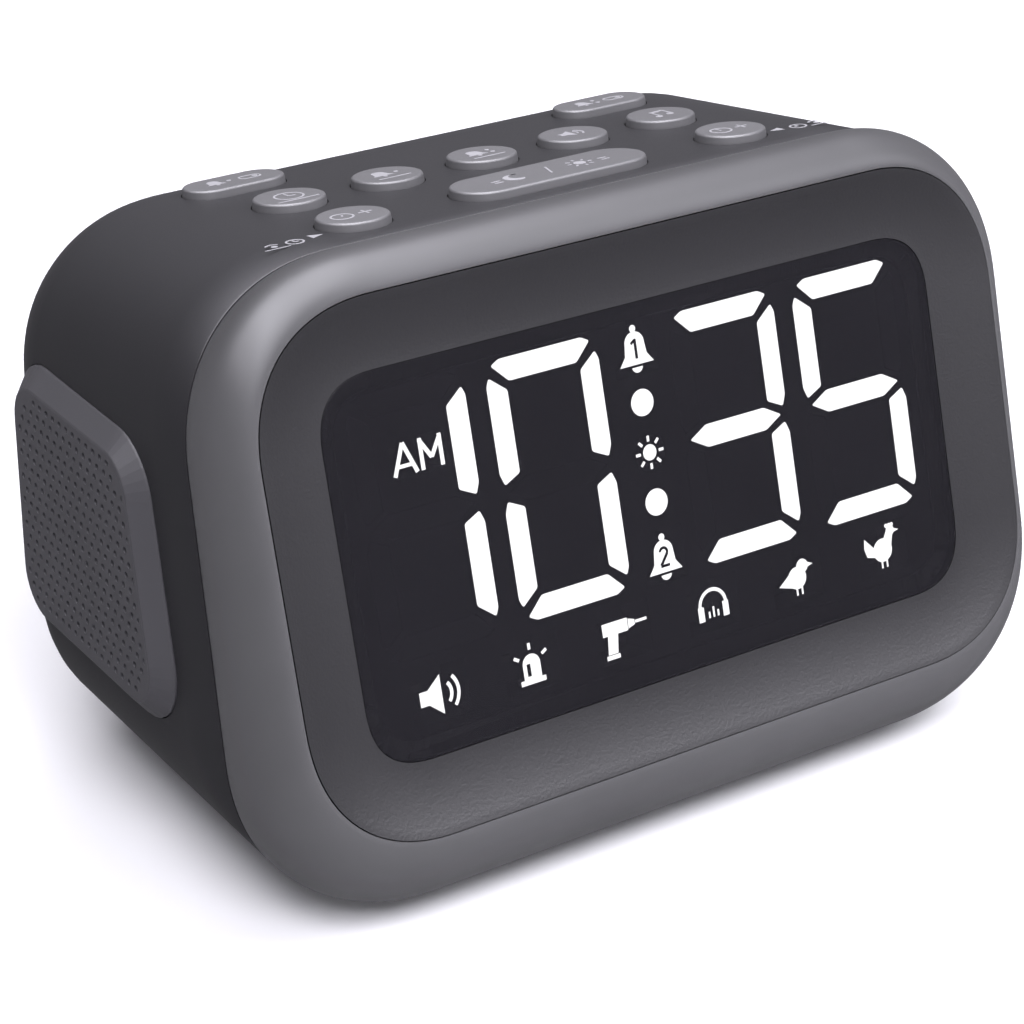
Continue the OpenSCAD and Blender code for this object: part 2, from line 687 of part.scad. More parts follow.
module pictures() {
    translate(marks[0]) bell_icon(1);
    translate(marks[1]) bell_icon(2);
    translate(marks[2]) morning_mark();
    translate(marks[3]) sun_icon();
    for (k = [4, 5]) translate(marks[k]) circle(colon_r);
    translate([icon_x[0], icon_row]) speaker_icon();
    translate([icon_x[1], icon_row]) beacon_icon();
    translate([icon_x[2], icon_row]) drill_icon();
    translate([icon_x[3], icon_row]) headphones_icon();
    translate([icon_x[4], icon_row]) bird_icon();
    translate([icon_x[5], icon_row]) cockerel_icon();
}

module display_lit() {
    color("white") on_face() translate([0, 0, -diffuser_top - diffuser_t]) linear_extrude(diffuser_t) {
        segments(1, 0);
        pictures();
    }
}

module display_unlit() {
    color("#2c2b30") on_face() translate([0, 0, -diffuser_top - diffuser_t]) linear_extrude(diffuser_t)
        segments(0, 0);
}

// Light well through the reflector
module well(middle, room) {
    translate([middle.x, middle.y, -1]) linear_extrude(reflector_t + 2) square(room, center = true);
}

module display_reflector() {
    color("#1d1d20") on_face() translate([0, 0, -diffuser_top - reflector_t]) difference() {
        linear_extrude(reflector_t) polygon(drawn_in(window_w, window_h, window_corner, window_soft,
            window_ledge + 0.3));
        translate([0, 0, -1]) linear_extrude(reflector_t + 2) segments(2, 0.12);
        for (k = [4, 5]) translate([marks[k].x, marks[k].y, -1])
            cylinder(r = colon_r + 0.12, h = reflector_t + 2);
        for (k = [0, 1]) well([marks[k].x, marks[k].y + 0.4], [7, 7.4]);
        well(marks[2], [8.4, 5]);
        translate([marks[3].x, marks[3].y, -1]) cylinder(r = 2.6, h = reflector_t + 2);
        for (x = icon_x) well([x + 0.1, icon_row + 0.2], [8.8, 7.4]);
    }
}

led_places = concat(
    [for (x = digit_x, p = bars) let (m = bar_middle(p)) [x + m.x, digit_raise + m.y]],
    marks, [for (x = icon_x) [x, icon_row]]);

module display_leds() {
    color("#e8dc9a") on_face() for (p = led_places)
        translate([p.x - 0.8, p.y - 0.4, -display_pcb_top]) cube([1.6, 0.8, 0.6]);
}

module display_board() {
    color("#1d5a34") on_face() translate([0, 0, -display_pcb_top - pcb_t]) difference() {
        linear_extrude(pcb_t) {
            square([display_pcb_w, display_pcb_h], center = true);
            square([2 * display_post_x + 8, 2 * display_post_y + 6.2], center = true);
        }
        for (x = [-1, 1], y = [-1, 1]) translate([x * display_post_x, y * display_post_y, -1])
            cylinder(r = 1.2, h = pcb_t + 2);
    }
}

// Pan-head screw along z with its head's seat at 0 and the shank going up
module screw(shank_r, length, head_r, head_h) {
    rotate_extrude() polygon([[0, -head_h], [head_r - 0.3, -head_h], [head_r, -head_h + 0.3], [head_r, 0],
        [shank_r, 0], [shank_r, length - shank_r], [0, length]]);
}

module display_screws() {
    color("silver") on_face() for (x = [-1, 1], y = [-1, 1])
        translate([x * display_post_x, y * display_post_y, -display_pcb_top - pcb_t])
            screw(0.8, 5.5, 1.9, 1.2);
}

// ---------- buttons ----------

// Half of a cap's section, with the flange that holds it under the housing
function cap_section(r) = concat(
    [[0, -wall - flange_gap - flange_t], [r + flange_w, -wall - flange_gap - flange_t],
     [r + flange_w, -wall - flange_gap], [r, -wall - flange_gap]],
    [for (a = [0 : 15 : 90]) [r - cap_edge + cap_edge * cos(a), cap_h - cap_edge + cap_edge * sin(a)]],
    [[0, cap_h]]);

module cap(b) {
    section = cap_section(b[3]);
    half = b[4];
    bottom = -button_pcb_depth + switch_h + plunger_h + button_travel + 0.1;
    color("#858489") on_top(b[1], b[2]) {
        if (half > 0) {
            for (s = [-1, 1]) translate([s * half, 0, 0]) rotate_extrude() polygon(section);
            mirrored = [for (k = [len(section) - 2 : -1 : 1]) [-section[k].x, section[k].y]];
            translate([-half, 0, 0]) rotate([90, 0, 90]) linear_extrude(2 * half)
                polygon(concat(section, mirrored));
        } else rotate_extrude() polygon(section);
        translate([0, 0, bottom]) cylinder(r = stem_r, h = -wall - flange_gap - flange_t - bottom + 0.1);
    }
}

module snooze_button() { cap(buttons[0]); }
module hour_button() { cap(buttons[1]); }
module minute_button() { cap(buttons[2]); }
module time_set_button() { cap(buttons[3]); }
module alarm_1_set_button() { cap(buttons[4]); }
module alarm_2_set_button() { cap(buttons[5]); }
module volume_button() { cap(buttons[6]); }
module sound_button() { cap(buttons[7]); }
module alarm_1_button() { cap(buttons[8]); }
module alarm_2_button() { cap(buttons[9]); }

module button_switches() {
    color("#2a2a2c") for (b = buttons) on_top(b[1], b[2]) translate([0, 0, -button_pcb_depth]) {
        translate([-switch_side / 2, -switch_side / 2, 0]) cube([switch_side, switch_side, switch_h]);
        cylinder(r = plunger_r, h = switch_h + plunger_h);
    }
}

module button_board() {
    middle = (button_pcb_front + button_pcb_rear) / 2;
    color("#1d5a34") on_top(0, middle) translate([0, 0, -button_pcb_depth - pcb_t]) difference() {
        linear_extrude(pcb_t)
            square([button_pcb_w + 2 * post_r, button_pcb_rear - button_pcb_front], center = true);
        for (p = button_posts) translate([p.x, p.y - middle, -1]) cylinder(r = 1.2, h = pcb_t + 2);
    }
}

module button_screws() {
    color("silver") for (p = button_posts) on_top(p.x, p.y) translate([0, 0, -button_pcb_depth - pcb_t])
        screw(0.8, 5.5, 1.9, 1.2);
}

// ---------- grille and loudspeaker ----------

row_step = hole_pitch * sqrt(3) / 2;
field_room = grille_margin + 1.3;
hole_rows = floor((grille_top - grille_bottom - 2 * field_room) / row_step);
hole_cols = ceil((grille_rear - grille_front + 10) / hole_pitch);
sound_holes = [for (j = [0 : hole_rows], i = [0 : hole_cols])
    let (p = [-grille_rear + field_room - 0.5 + (i + (j % 2) / 2) * hole_pitch,
              grille_top - field_room - j * row_step - 0.1])
    if (inside(grille_quad, grille_corner + 1.5, field_room - 0.4, p)) p];

module speaker_grille() {
    quad = function (d, z) [for (p = round_quad(grille_quad, grille_corner, d)) [p.x, p.y, z]];
    skin_z = grille_h - grille_skin;
    color("#605f64") on_side() {
        loop_skin([quad(0, 0.1), quad(0.2, 0.3), quad(grille_margin - 0.15, grille_h - 0.12),
            quad(grille_margin + 0.15, grille_h), quad(grille_margin + 1, grille_h),
            quad(grille_margin + 1, skin_z), quad(2, -0.2), quad(2, -grille_pocket), quad(0,
                -grille_pocket)]);
        translate([0, 0, skin_z]) linear_extrude(grille_skin) difference() {
            polygon(round_quad(grille_quad, grille_corner, grille_margin + 0.6));
            for (p = sound_holes) translate(p) circle(d = hole_d, $fn = 16);
        }
        for (p = grille_pegs) translate([p.x, p.y, -wall - 1.4]) cylinder(r = peg_r, h = wall + 1);
    }
}

module grille_cloth() {
    color("#151517") on_side() translate([0, 0, -grille_pocket]) difference() {
        linear_extrude(0.3) polygon(round_quad(grille_quad, grille_corner, 2.4));
        for (p = grille_pegs) translate([p.x, p.y, -1]) cylinder(r = peg_r + 0.5, h = 3);
    }
}

module speaker_gasket() {
    color("#222224") on_speaker() difference() {
        cylinder(r = speaker_d / 2 + 0.4, h = gasket_t);
        translate([0, 0, -1]) cylinder(r = speaker_d / 2 - 2.5, h = gasket_t + 2);
    }
}

basket_r = speaker_d / 2 - 2.6;
neck_r = magnet_d / 2 + 0.5;

module speaker_basket() {
    rim_r = speaker_d / 2 + 1.4;
    color("#8d8f92") on_speaker() difference() {
        union() {
            rotate_extrude() polygon([[basket_r, 0], [rim_r, 0], [rim_r, -basket_t],
                [basket_r + 1.1, -basket_t], [neck_r, -basket_h], [neck_r, -basket_h - basket_t],
                [coil_r + 0.3, -basket_h - basket_t], [coil_r + 0.3, -basket_h], [neck_r - 1.1, -basket_h]]);
            at_speaker_screws() translate([0, 0, -basket_t]) cylinder(r = ear_r, h = basket_t);
        }
        at_speaker_screws() translate([0, 0, -basket_t - 1]) cylinder(r = 1.1, h = basket_t + 2);
    }
}

module speaker_surround() {
    roll = (basket_r - 0.8 - cone_r) / 2;
    color("#19191b") on_speaker() rotate_extrude() translate([cone_r + roll, -0.9]) polygon(concat(
        [for (a = [0 : 20 : 180]) (roll + 0.1) * [cos(a), sin(a)]],
        [for (a = [180 : -20 : 0]) (roll - 0.4) * [cos(a), sin(a)]]));
}

module speaker_cone() {
    color("#2b2b2d") on_speaker() rotate_extrude() polygon([[coil_r, -6.2], [cone_r - 0.2, -1.5],
        [cone_r - 0.2, -2.1], [coil_r, -6.9], [coil_r, -basket_h - basket_t + 0.3],
        [coil_r - 0.5, -basket_h - basket_t + 0.3], [coil_r - 0.5, -6.2]]);
}

module speaker_dust_cap() {
    color("#1b1b1d") on_speaker() rotate_extrude() polygon(concat(
        [for (a = [0 : 15 : 90]) [(coil_r + 0.4) * cos(a), -5.7 + 2.6 * sin(a)]],
        [for (a = [90 : -15 : 0]) [(coil_r - 0.1) * cos(a), -5.7 + 2.1 * sin(a)]]));
}

module speaker_magnet() {
    color("#3a3a3c") on_speaker() translate([0, 0, -basket_h - basket_t - magnet_h])
        cylinder(d = magnet_d, h = magnet_h);
}

module speaker_screws() {
    color("silver") on_speaker() at_speaker_screws() translate([0, 0, -basket_t]) screw(0.8, 4.6, 1.8, 1.1);
}

// ---------- electronics ----------

module main_board() {
    color("#1d5a34") translate([0, board_y, board_z]) difference() {
        linear_extrude(pcb_t) square([board_w, board_d], center = true);
        for (x = [-1, 1], y = [-1, 1]) translate([x * board_post_x, y * board_post_y, -1])
            cylinder(r = 1.2, h = pcb_t + 2);
    }
}

module main_chip() {
    color("#151517") translate([-14, board_y - 4, board_z + pcb_t]) cube([12, 9, 1.8]);
}

module clock_crystal() {
    color("silver") translate([8, board_y + 6, board_z + pcb_t]) linear_extrude(3.4) slot_2d(1.9, 3.2);
}

module board_capacitors() {
    color("#26324a") for (k = [0 : 2]) translate([12 + 8 * k, board_y - 6, board_z + pcb_t])
        cylinder(r = 2.6 + 0.3 * k, h = 8 + k);
}

module board_screws() {
    color("silver") for (x = [-1, 1], y = [-1, 1])
        translate([x * board_post_x, board_y + y * board_post_y, board_z + pcb_t])
            rotate([180, 0, 0]) screw(0.8, 5, 1.9, 1.2);
}

// ---------- battery ----------

module battery_box() {
    color("#343338") on_rear(battery_x, 0) translate([0, 0, -wall - box_d]) difference() {
        translate([-box_w / 2 - box_wall, -box_h / 2 - box_wall, -box_wall])
            cube([box_w + 2 * box_wall, box_h + 2 * box_wall, box_d + box_wall]);
        translate([-box_w / 2, -box_h / 2, 0]) cube([box_w, box_h, box_d + 1]);
    }
}

function cell_y(k) = -box_h / 2 + cell_gap + cell_d / 2 + k * (cell_d + cell_gap);
cell_z = -wall - box_d + cell_d / 2 + 0.3;
// Cells lie head to tail, so each one's button end is at the other side from its neighbour's
function cell_side(k) = k % 2 == 0 ? 1 : -1;

module battery_cells() {
    nub = 1;
    nub_r = 1.9;
    edge = 0.4;
    r = cell_d / 2;
    end = cell_l / 2;
    color("#7d8288") on_rear(battery_x, 0) for (k = [0 : cells - 1])
        translate([cell_side(k) * (contact_room / 2 - 0.5), cell_y(k), cell_z])
            rotate([0, cell_side(k) * 90, 0]) rotate_extrude() polygon([[0, -end], [r - edge, -end],
                [r, -end + edge], [r, end - nub - edge], [r - edge, end - nub], [nub_r, end - nub],
                [nub_r, end], [0, end]]);
}

module battery_springs() {
    color("silver") on_rear(battery_x, 0) for (k = [0 : cells - 1])
        translate([-cell_side(k) * box_w / 2, cell_y(k), cell_z]) rotate([0, cell_side(k) * 90, 0])
            rotate_extrude() polygon([[0, 0], [4, 0], [4, 0.5], [3.2, 0.5], [2.4, 2.2], [0, 2.2]]);
}

module battery_plates() {
    color("silver") on_rear(battery_x, 0) for (k = [0 : cells - 1])
        translate([cell_side(k) * (box_w / 2 - 0.2), cell_y(k), cell_z]) cube([0.4, 7, 7], center = true);
}

module battery_door() {
    color("#3e3d42") on_rear(battery_x, 0) translate([0, -door_h / 2 + door_t / 2, -door_t / 2]) {
        difference() {
            translate([-door_w / 2, 0, -door_t / 2]) cube([door_w, door_h - door_t / 2, door_t]);
            // Finger grip
            for (k = [0 : 3]) translate([-8, door_h - 6 - 1.6 * k, door_t / 2 - 0.5]) cube([16, 0.8, 1]);
        }
        // Rounded lower edge and the hinge pins at its ends
        rotate([0, 90, 0]) {
            cylinder(d = door_t, h = door_w, center = true);
            cylinder(r = door_pin_r, h = door_w + 2 * door_pin_l, center = true);
        }
    }
}

// ---------- power inlet, screws and feet ----------

module power_inlet() {
    color("#151517") on_rear(inlet_x, inlet_z) difference() {
        union() {
            translate([-inlet_w / 2, -inlet_w / 2 - 1, -wall - inlet_d])
                cube([inlet_w, inlet_w + 2, inlet_d]);
            translate([0, 0, -wall - 1]) cylinder(d = inlet_w - 1.3, h = wall + 1);
        }
        translate([0, 0, -wall - inlet_d + 2]) cylinder(d = inlet_bore, h = inlet_d + wall);
    }
}

module inlet_pin() {
    color("silver") on_rear(inlet_x, inlet_z) translate([0, 0, -wall - inlet_d + 2]) {
        cylinder(d = pin_d, h = inlet_d - 2.5 + wall / 2);
    }
}

module case_screws() {
    color("silver") for (x = [-1, 1]) translate([x * case_screw_x, case_screw_y, case_head_z])
        screw(1.15, 6.5, 2.9, 1.8);
}

module rubber_feet() {
    r = foot_d / 2;
    edge = 0.4;
    color("#1a1a1b") for (x = [-1, 1], y = [foot_front_y, foot_rear_y]) translate([x * foot_x, y, 0])
        rotate_extrude() polygon([[0, 0], [r - edge, 0], [r, edge], [r, foot_seat(y)], [0, foot_seat(y)]]);
}

// ---------- leads ----------

// Flat strip along points in the YZ plane
module strip(points, t, w) {
    n = len(points);
    side = [for (i = [0 : n - 1])
        out(unit(points[min(n - 1, i + 1)] - points[max(0, i - 1)]))];
    rotate([90, 0, 90]) translate([0, 0, -w / 2]) linear_extrude(w) polygon(concat(
        [for (i = [0 : n - 1]) points[i] + side[i] * t / 2],
        [for (i = [n - 1 : -1 : 0]) points[i] - side[i] * t / 2]));
}

module display_ribbon() {
    behind = -display_pcb_top - pcb_t - 0.27;
    a = from_face([0, -17, behind]);
    b = from_face([0, -22, behind]);
    foot = board_y - board_d / 2;
    color("#9a9aa0") strip([[a.y, a.z], [b.y, b.z], [b.y + 3, b.z - 4], [foot - 4, board_z + 8],
        [foot, board_z + 3], [foot + 2, board_z + pcb_t + 0.27], [foot + 4,
            board_z + pcb_t + 0.27]], 0.5, 12);
}

// Point under the top, s behind the front edge and d below the surface, as [y, z]
function under_top(s, d) = [top_y + s * cos(top_slope) - d * sin(top_slope),
    top_z - s * sin(top_slope) - d * cos(top_slope)];

module button_ribbon() {
    d = button_pcb_depth + pcb_t + 0.27;
    top = board_z + pcb_t;
    color("#9a9aa0") translate([-26, 0, 0]) strip([under_top(24, d), under_top(29, d), under_top(31, d + 3),
        [board_y + 8, top + 20], [board_y + 6, top + 6], [board_y + 4, top + 0.27], [board_y + 1,
            top + 0.27]],
        0.5, 10);
}

module speaker_lead() {
    top = board_z + pcb_t + 0.4;
    x = -board_w / 2;
    color("#b03a30") translate([0, seam_y + speaker_u, 0]) rotate([0, 0, 90]) rotate([0, 0, 180])
        strip([[x + 8, top], [x + 5, top], [x - 1, top + 4], [x - 10, top + 14], [x - 13.6,
            seam_z + speaker_v - 14.4]],
            0.7, 2);
}

housing();
front_bezel();
front_frame();
display_window();
display_lit();
display_unlit();
display_reflector();
display_leds();
display_board();
display_screws();
snooze_button();
hour_button();
minute_button();
time_set_button();
alarm_1_set_button();
alarm_2_set_button();
volume_button();
sound_button();
alarm_1_button();
alarm_2_button();
button_switches();
button_board();
button_screws();
speaker_grille();
grille_cloth();
speaker_gasket();
speaker_basket();
speaker_surround();
speaker_cone();
speaker_dust_cap();
speaker_magnet();
speaker_screws();
main_board();
main_chip();
clock_crystal();
board_capacitors();
board_screws();
battery_box();
battery_door();
battery_cells();
battery_springs();
battery_plates();
power_inlet();
inlet_pin();
case_screws();
rubber_feet();
display_ribbon();
button_ribbon();
speaker_lead();
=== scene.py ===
import json
from math import atan2, cos, degrees, pi, radians, sin, tan

import bmesh
import bpy
from mathutils import Matrix, Vector

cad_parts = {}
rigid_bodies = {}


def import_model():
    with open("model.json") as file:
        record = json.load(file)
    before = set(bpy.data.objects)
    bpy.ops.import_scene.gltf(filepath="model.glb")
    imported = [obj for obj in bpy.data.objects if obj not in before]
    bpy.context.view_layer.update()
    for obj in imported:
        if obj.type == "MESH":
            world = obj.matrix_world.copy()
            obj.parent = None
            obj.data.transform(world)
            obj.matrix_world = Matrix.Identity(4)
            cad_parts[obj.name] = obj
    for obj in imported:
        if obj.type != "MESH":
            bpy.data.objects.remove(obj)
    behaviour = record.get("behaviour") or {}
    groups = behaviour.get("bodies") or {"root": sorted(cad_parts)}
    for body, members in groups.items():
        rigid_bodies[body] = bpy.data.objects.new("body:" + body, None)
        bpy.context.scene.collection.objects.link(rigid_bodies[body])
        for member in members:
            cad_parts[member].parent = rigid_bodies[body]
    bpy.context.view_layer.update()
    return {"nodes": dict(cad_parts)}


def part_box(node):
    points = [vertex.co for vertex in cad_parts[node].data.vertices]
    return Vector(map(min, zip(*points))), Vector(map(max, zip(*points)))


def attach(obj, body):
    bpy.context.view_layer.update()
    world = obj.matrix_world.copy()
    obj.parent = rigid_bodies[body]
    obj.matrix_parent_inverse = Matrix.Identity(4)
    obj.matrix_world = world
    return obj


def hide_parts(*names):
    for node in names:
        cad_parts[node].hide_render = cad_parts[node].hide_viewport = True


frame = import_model()
scene = bpy.context.scene

# Camera: a long lens a little above the clock, off its left front corner.
camera = bpy.data.objects.new("camera", bpy.data.cameras.new("camera"))
camera.data.sensor_width = 36
camera.data.lens = 110.18
camera.data.clip_start = 0.01
camera.location = (-0.23438, -0.33583, 0.22524)
camera.rotation_euler = (radians(64.888), 0, radians(-34.753))
scene.collection.objects.link(camera)
scene.camera = camera

# Floor: a plain flat sheet of white paper, 6 m square, under the clock. It takes shadows and
# throws light back up, but no glossy surface reflects it.
floor_half = 3
floor_mesh = bpy.data.meshes.new("floor")
floor_form = bmesh.new()
bmesh.ops.create_grid(floor_form, x_segments=8, y_segments=8, size=floor_half)
floor_form.to_mesh(floor_mesh)
floor_form.free()
floor_sheet = bpy.data.objects.new("floor", floor_mesh)
scene.collection.objects.link(floor_sheet)
paper = bpy.data.materials.new("white paper")
paper.use_nodes = True
paper_shader = paper.node_tree.nodes["Principled BSDF"]
paper_shader.inputs["Base Color"].default_value = (0.95, 0.95, 0.955, 1)
paper_shader.inputs["Roughness"].default_value = 0.9
paper_shader.inputs["Specular IOR Level"].default_value = 0.1
floor_mesh.materials.append(paper)
floor_sheet.visible_glossy = False

# Light: a dim room, soft boxes above and in front for a short shadow, and two fills that no
# surface reflects. One panel overhead and one on the left show only as reflections.
scene.view_settings.view_transform = "Standard"
daylight = (1, 0.985, 1.06)
room = bpy.data.worlds.new("dim room")
room.use_nodes = True
room.node_tree.nodes["Background"].inputs["Color"].default_value = (*daylight, 1)
room.node_tree.nodes["Background"].inputs["Strength"].default_value = 0.22
scene.world = room


def soft_box(name, width, height, watts, place, lights=True, shows=True):
    """lights says whether the box falls on surfaces, and shows whether they reflect it."""
    lamp = bpy.data.lights.new(name, "AREA")
    lamp.shape = "RECTANGLE"
    lamp.size = width
    lamp.size_y = height
    lamp.energy = watts
    lamp.color = daylight
    holder = bpy.data.objects.new(name, lamp)
    holder.location = place
    aim = Vector((0, 0, 0.04)) - Vector(place)
    holder.rotation_euler = aim.to_track_quat("-Z", "Y").to_euler()
    holder.visible_diffuse = lights
    holder.visible_glossy = shows
    scene.collection.objects.link(holder)


soft_box("front left soft box", 0.6, 0.5, 11, (-0.35, -0.6, 0.8))
soft_box("front right soft box", 0.5, 0.5, 6, (0.55, -0.5, 0.7))
soft_box("top right soft box", 0.6, 0.6, 2, (0.45, 0.1, 0.85))
soft_box("low front fill", 0.8, 0.3, 4, (0.3, -0.9, 0.15), shows=False)
soft_box("back fill", 0.8, 0.5, 3.5, (0.15, 0.6, 0.75), shows=False)
soft_box("overhead panel", 1, 1, 46, (0, 0, 1), lights=False)
soft_box("left panel", 0.8, 0.6, 14, (-0.5, 0, 0.8), lights=False)

# ---------------------------------------------------------------------------------------------
# Rear housing: one injection-moulded shell of dark ABS with a fine spark-eroded grain, open at
# the front where the bezel's spigot fits, with holes for the buttons and pockets for the
# loudspeaker grille, battery door, power inlet, feet and case screws.
MM = 0.001
wall = 2.2
front_w, front_h, front_corner = 128.8, 87, 24.3
front_lean = radians(9.3)
rear_w, rear_h, rear_corner = 122.2, 76.6, 22.5
rear_round = 16.6
body_depth = 67.2
foot_h, rear_rise = 1.2, 1.3
front_soft, rear_soft = 2.23, 2.2
rear_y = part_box("housing")[1].y / MM
seam_y = rear_y - body_depth
seam_z = foot_h + front_h / 2 * cos(front_lean)
rear_z = foot_h + rear_rise + rear_h / 2
edge_round = 0.1
grain_depth, gloss_spread = 0.1 * MM, 0.06
tint_spread, tint_scale = 0.05, 45


def moulded(name, colour, rough, grain=0.05, shine=0.4, grain_size=6000):
    """Moulded finish: a fine grain in gloss and bump, and a slow drift in the colour."""
    material = bpy.data.materials.new(name)
    material.use_nodes = True
    nodes, links = material.node_tree.nodes, material.node_tree.links
    shader = nodes["Principled BSDF"]
    shader.inputs["Specular IOR Level"].default_value = shine
    place = nodes.new("ShaderNodeTexCoord")
    fine = nodes.new("ShaderNodeTexNoise")
    fine.inputs["Scale"].default_value = grain_size
    fine.inputs["Detail"].default_value = 3
    links.new(place.outputs["Object"], fine.inputs["Vector"])
    drift = nodes.new("ShaderNodeTexNoise")
    drift.inputs["Scale"].default_value = tint_scale
    drift.inputs["Detail"].default_value = 2
    links.new(place.outputs["Object"], drift.inputs["Vector"])
    tint = nodes.new("ShaderNodeValToRGB")
    ends = ((0.3, 1 - tint_spread), (0.7, 1 + tint_spread))
    for stop, (position, share) in zip(tint.color_ramp.elements, ends):
        stop.position = position
        stop.color = [c * share for c in colour] + [1]
    links.new(drift.outputs["Fac"], tint.inputs["Fac"])
    links.new(tint.outputs["Color"], shader.inputs["Base Color"])
    gloss = nodes.new("ShaderNodeMapRange")
    gloss.inputs["To Min"].default_value = rough - gloss_spread
    gloss.inputs["To Max"].default_value = rough + gloss_spread
    links.new(fine.outputs["Fac"], gloss.inputs["Value"])
    links.new(gloss.outputs["Result"], shader.inputs["Roughness"])
    bump = nodes.new("ShaderNodeBump")
    bump.inputs["Strength"].default_value = grain
    bump.inputs["Distance"].default_value = grain_depth
    links.new(fine.outputs["Fac"], bump.inputs["Height"])
    links.new(bump.outputs["Normal"], shader.inputs["Normal"])
    return material


def rounded_outline(width, height, corner, softness, inset=0, steps=28):
    """Rectangle with corners of a superellipse; a softness of 2 makes them circular."""
    turn = max(0.5, corner - inset)
    across, up = width / 2 - inset - turn, height / 2 - inset - turn
    points = []
    for quarter in range(4):
        for i in range(steps + 1):
            angle = pi / 2 * (i if quarter % 2 == 0 else steps - i) / steps
            x = across + turn * max(0, cos(angle)) ** (2 / softness)
            y = up + turn * max(0, sin(angle)) ** (2 / softness)
            points.append((x * (1 if quarter in (0, 3) else -1), y * (1 if quarter < 2 else -1)))
    return points


def front_ring(inset, behind=0):
    """Ring in the leaning plane of the seam, or a distance behind it."""
    return [Vector((x, seam_y + y * sin(front_lean) + behind, seam_z + y * cos(front_lean)))
            for x, y in rounded_outline(front_w, front_h, front_corner, front_soft, inset)]


def body_ring(inset, share=None, ahead=None, drawn_in=0):
    """Ring of the case a share of the way from front to rear, or a distance ahead of the rear."""
    ring = []
    shrink_x = 1 - 2 * drawn_in / (rear_w - 2 * inset)
    shrink_z = 1 - 2 * drawn_in / (rear_h - 2 * inset)
    rear = rounded_outline(rear_w, rear_h, rear_corner, rear_soft, inset)
    for start, (x, z) in zip(front_ring(inset), rear):
        end = Vector((x, rear_y, rear_z + z))
        part = share if ahead is None else 1 - ahead / (rear_y - start.y)
        point = start.lerp(end, part)
        ring.append(Vector((point.x * shrink_x, point.y, rear_z + (point.z - rear_z) * shrink_z)))
    return ring


def case_rings(inset, steps):
    """Rings from the rear face's edge forward to just behind the open front."""
    turn = rear_round - inset
    rings = []
    for i in range(steps + 1):
        angle = pi / 2 * (1 - i / steps)
        rings.append(body_ring(inset, ahead=rear_round - turn * sin(angle),
                               drawn_in=turn * (1 - cos(angle))))
    return rings + [body_ring(inset, share=share) for share in (0.6, 0.45, 0.3, 0.15)]


def lofted(rings, closed=False):
    """Points and faces of a skin through rings; closed joins the last ring to the first."""
    count = len(rings[0])
    points = [point for ring in rings for point in ring]
    faces = []
    for k in range(len(rings) if closed else len(rings) - 1):
        low, high = k * count, (k + 1) % len(rings) * count
        for i in range(count):
            j = (i + 1) % count
            faces.append((low + i, high + i, high + j, low + j))
    if not closed:
        last = (len(rings) - 1) * count
        faces.append(tuple(range(count)))
        faces.append(tuple(last + count - 1 - i for i in range(count)))
    return points, faces


sharp_from = radians(40)


def shaded(mesh):
    """Smooth, except along edges that turn more than sharp_from."""
    mesh.shade_smooth()
    mesh.set_sharp_from_angle(angle=sharp_from)


def made(name, points, faces, material, place=Matrix()):
    """New piece from points in millimetres."""
    mesh = bpy.data.meshes.new(name)
    mesh.from_pydata([place @ Vector(point) * MM for point in points], [], faces)
    form = bmesh.new()
    form.from_mesh(mesh)
    bmesh.ops.remove_doubles(form, verts=form.verts, dist=0.0005 * MM)
    bmesh.ops.recalc_face_normals(form, faces=form.faces)
    form.to_mesh(mesh)
    form.free()
    mesh.materials.append(material)
    shaded(mesh)
    piece = bpy.data.objects.new(name, mesh)
    scene.collection.objects.link(piece)
    return piece


def cut(piece, cutters):
    """Takes the cutters out of a piece, then welds and shades what is left."""
    group = bpy.data.collections.new("cutters")
    for cutter in cutters:
        scene.collection.objects.unlink(cutter)
        group.objects.link(cutter)
    step = piece.modifiers.new("cut", "BOOLEAN")
    step.operand_type = "COLLECTION"
    step.collection = group
    step.solver = "EXACT"
    seen = piece.evaluated_get(bpy.context.evaluated_depsgraph_get())
    mesh = bpy.data.meshes.new_from_object(seen)
    old = piece.data
    piece.modifiers.clear()
    piece.data = mesh
    bpy.data.meshes.remove(old)
    for cutter in list(group.objects):
        bpy.data.objects.remove(cutter)
    bpy.data.collections.remove(group)
    form = bmesh.new()
    form.from_mesh(mesh)
    bmesh.ops.remove_doubles(form, verts=form.verts, dist=0.002 * MM)
    form.to_mesh(mesh)
    form.free()
    shaded(mesh)


def prism(outline, low, high, place):
    """Straight-sided cutter over an outline, from low to high along its place's z."""
    points, faces = lofted([[(x, y, z) for x, y in outline] for z in (high, low)])
    return made("cutter", points, faces, case_plastic, place=place)


def stadium(radius, half, steps=32):
    """Outline of a round button, or of a bar with round ends half apart from its middle."""
    outline = []
    for i in range(2 * steps + 2):
        middle, turn = (half, i) if i <= steps else (-half, i - 1)
        angle = -pi / 2 + pi * turn / steps
        outline.append((middle + radius * cos(angle), radius * sin(angle)))
    return outline


def turned(offset, x, y, z):
    """Place at an offset, turned by degrees about x, then y, then z."""
    place = Matrix.Translation(offset)
    for angle, axis in ((z, "Z"), (y, "Y"), (x, "X")):
        place = place @ Matrix.Rotation(radians(angle), 4, axis)
    return place


top_y = seam_y + front_h / 2 * sin(front_lean)
top_z = seam_z + front_h / 2 * cos(front_lean)
top_slope = atan2(top_z - rear_z - rear_h / 2, rear_y - top_y)


def on_top(x, behind):
    """Place on the sloping top: x to the right, y to the rear, z out of it."""
    middle = (x, top_y + behind * cos(top_slope), top_z - behind * sin(top_slope))
    return turned(middle, -degrees(top_slope), 0, 0)


side_taper = atan2((front_w - rear_w) / 2, body_depth)


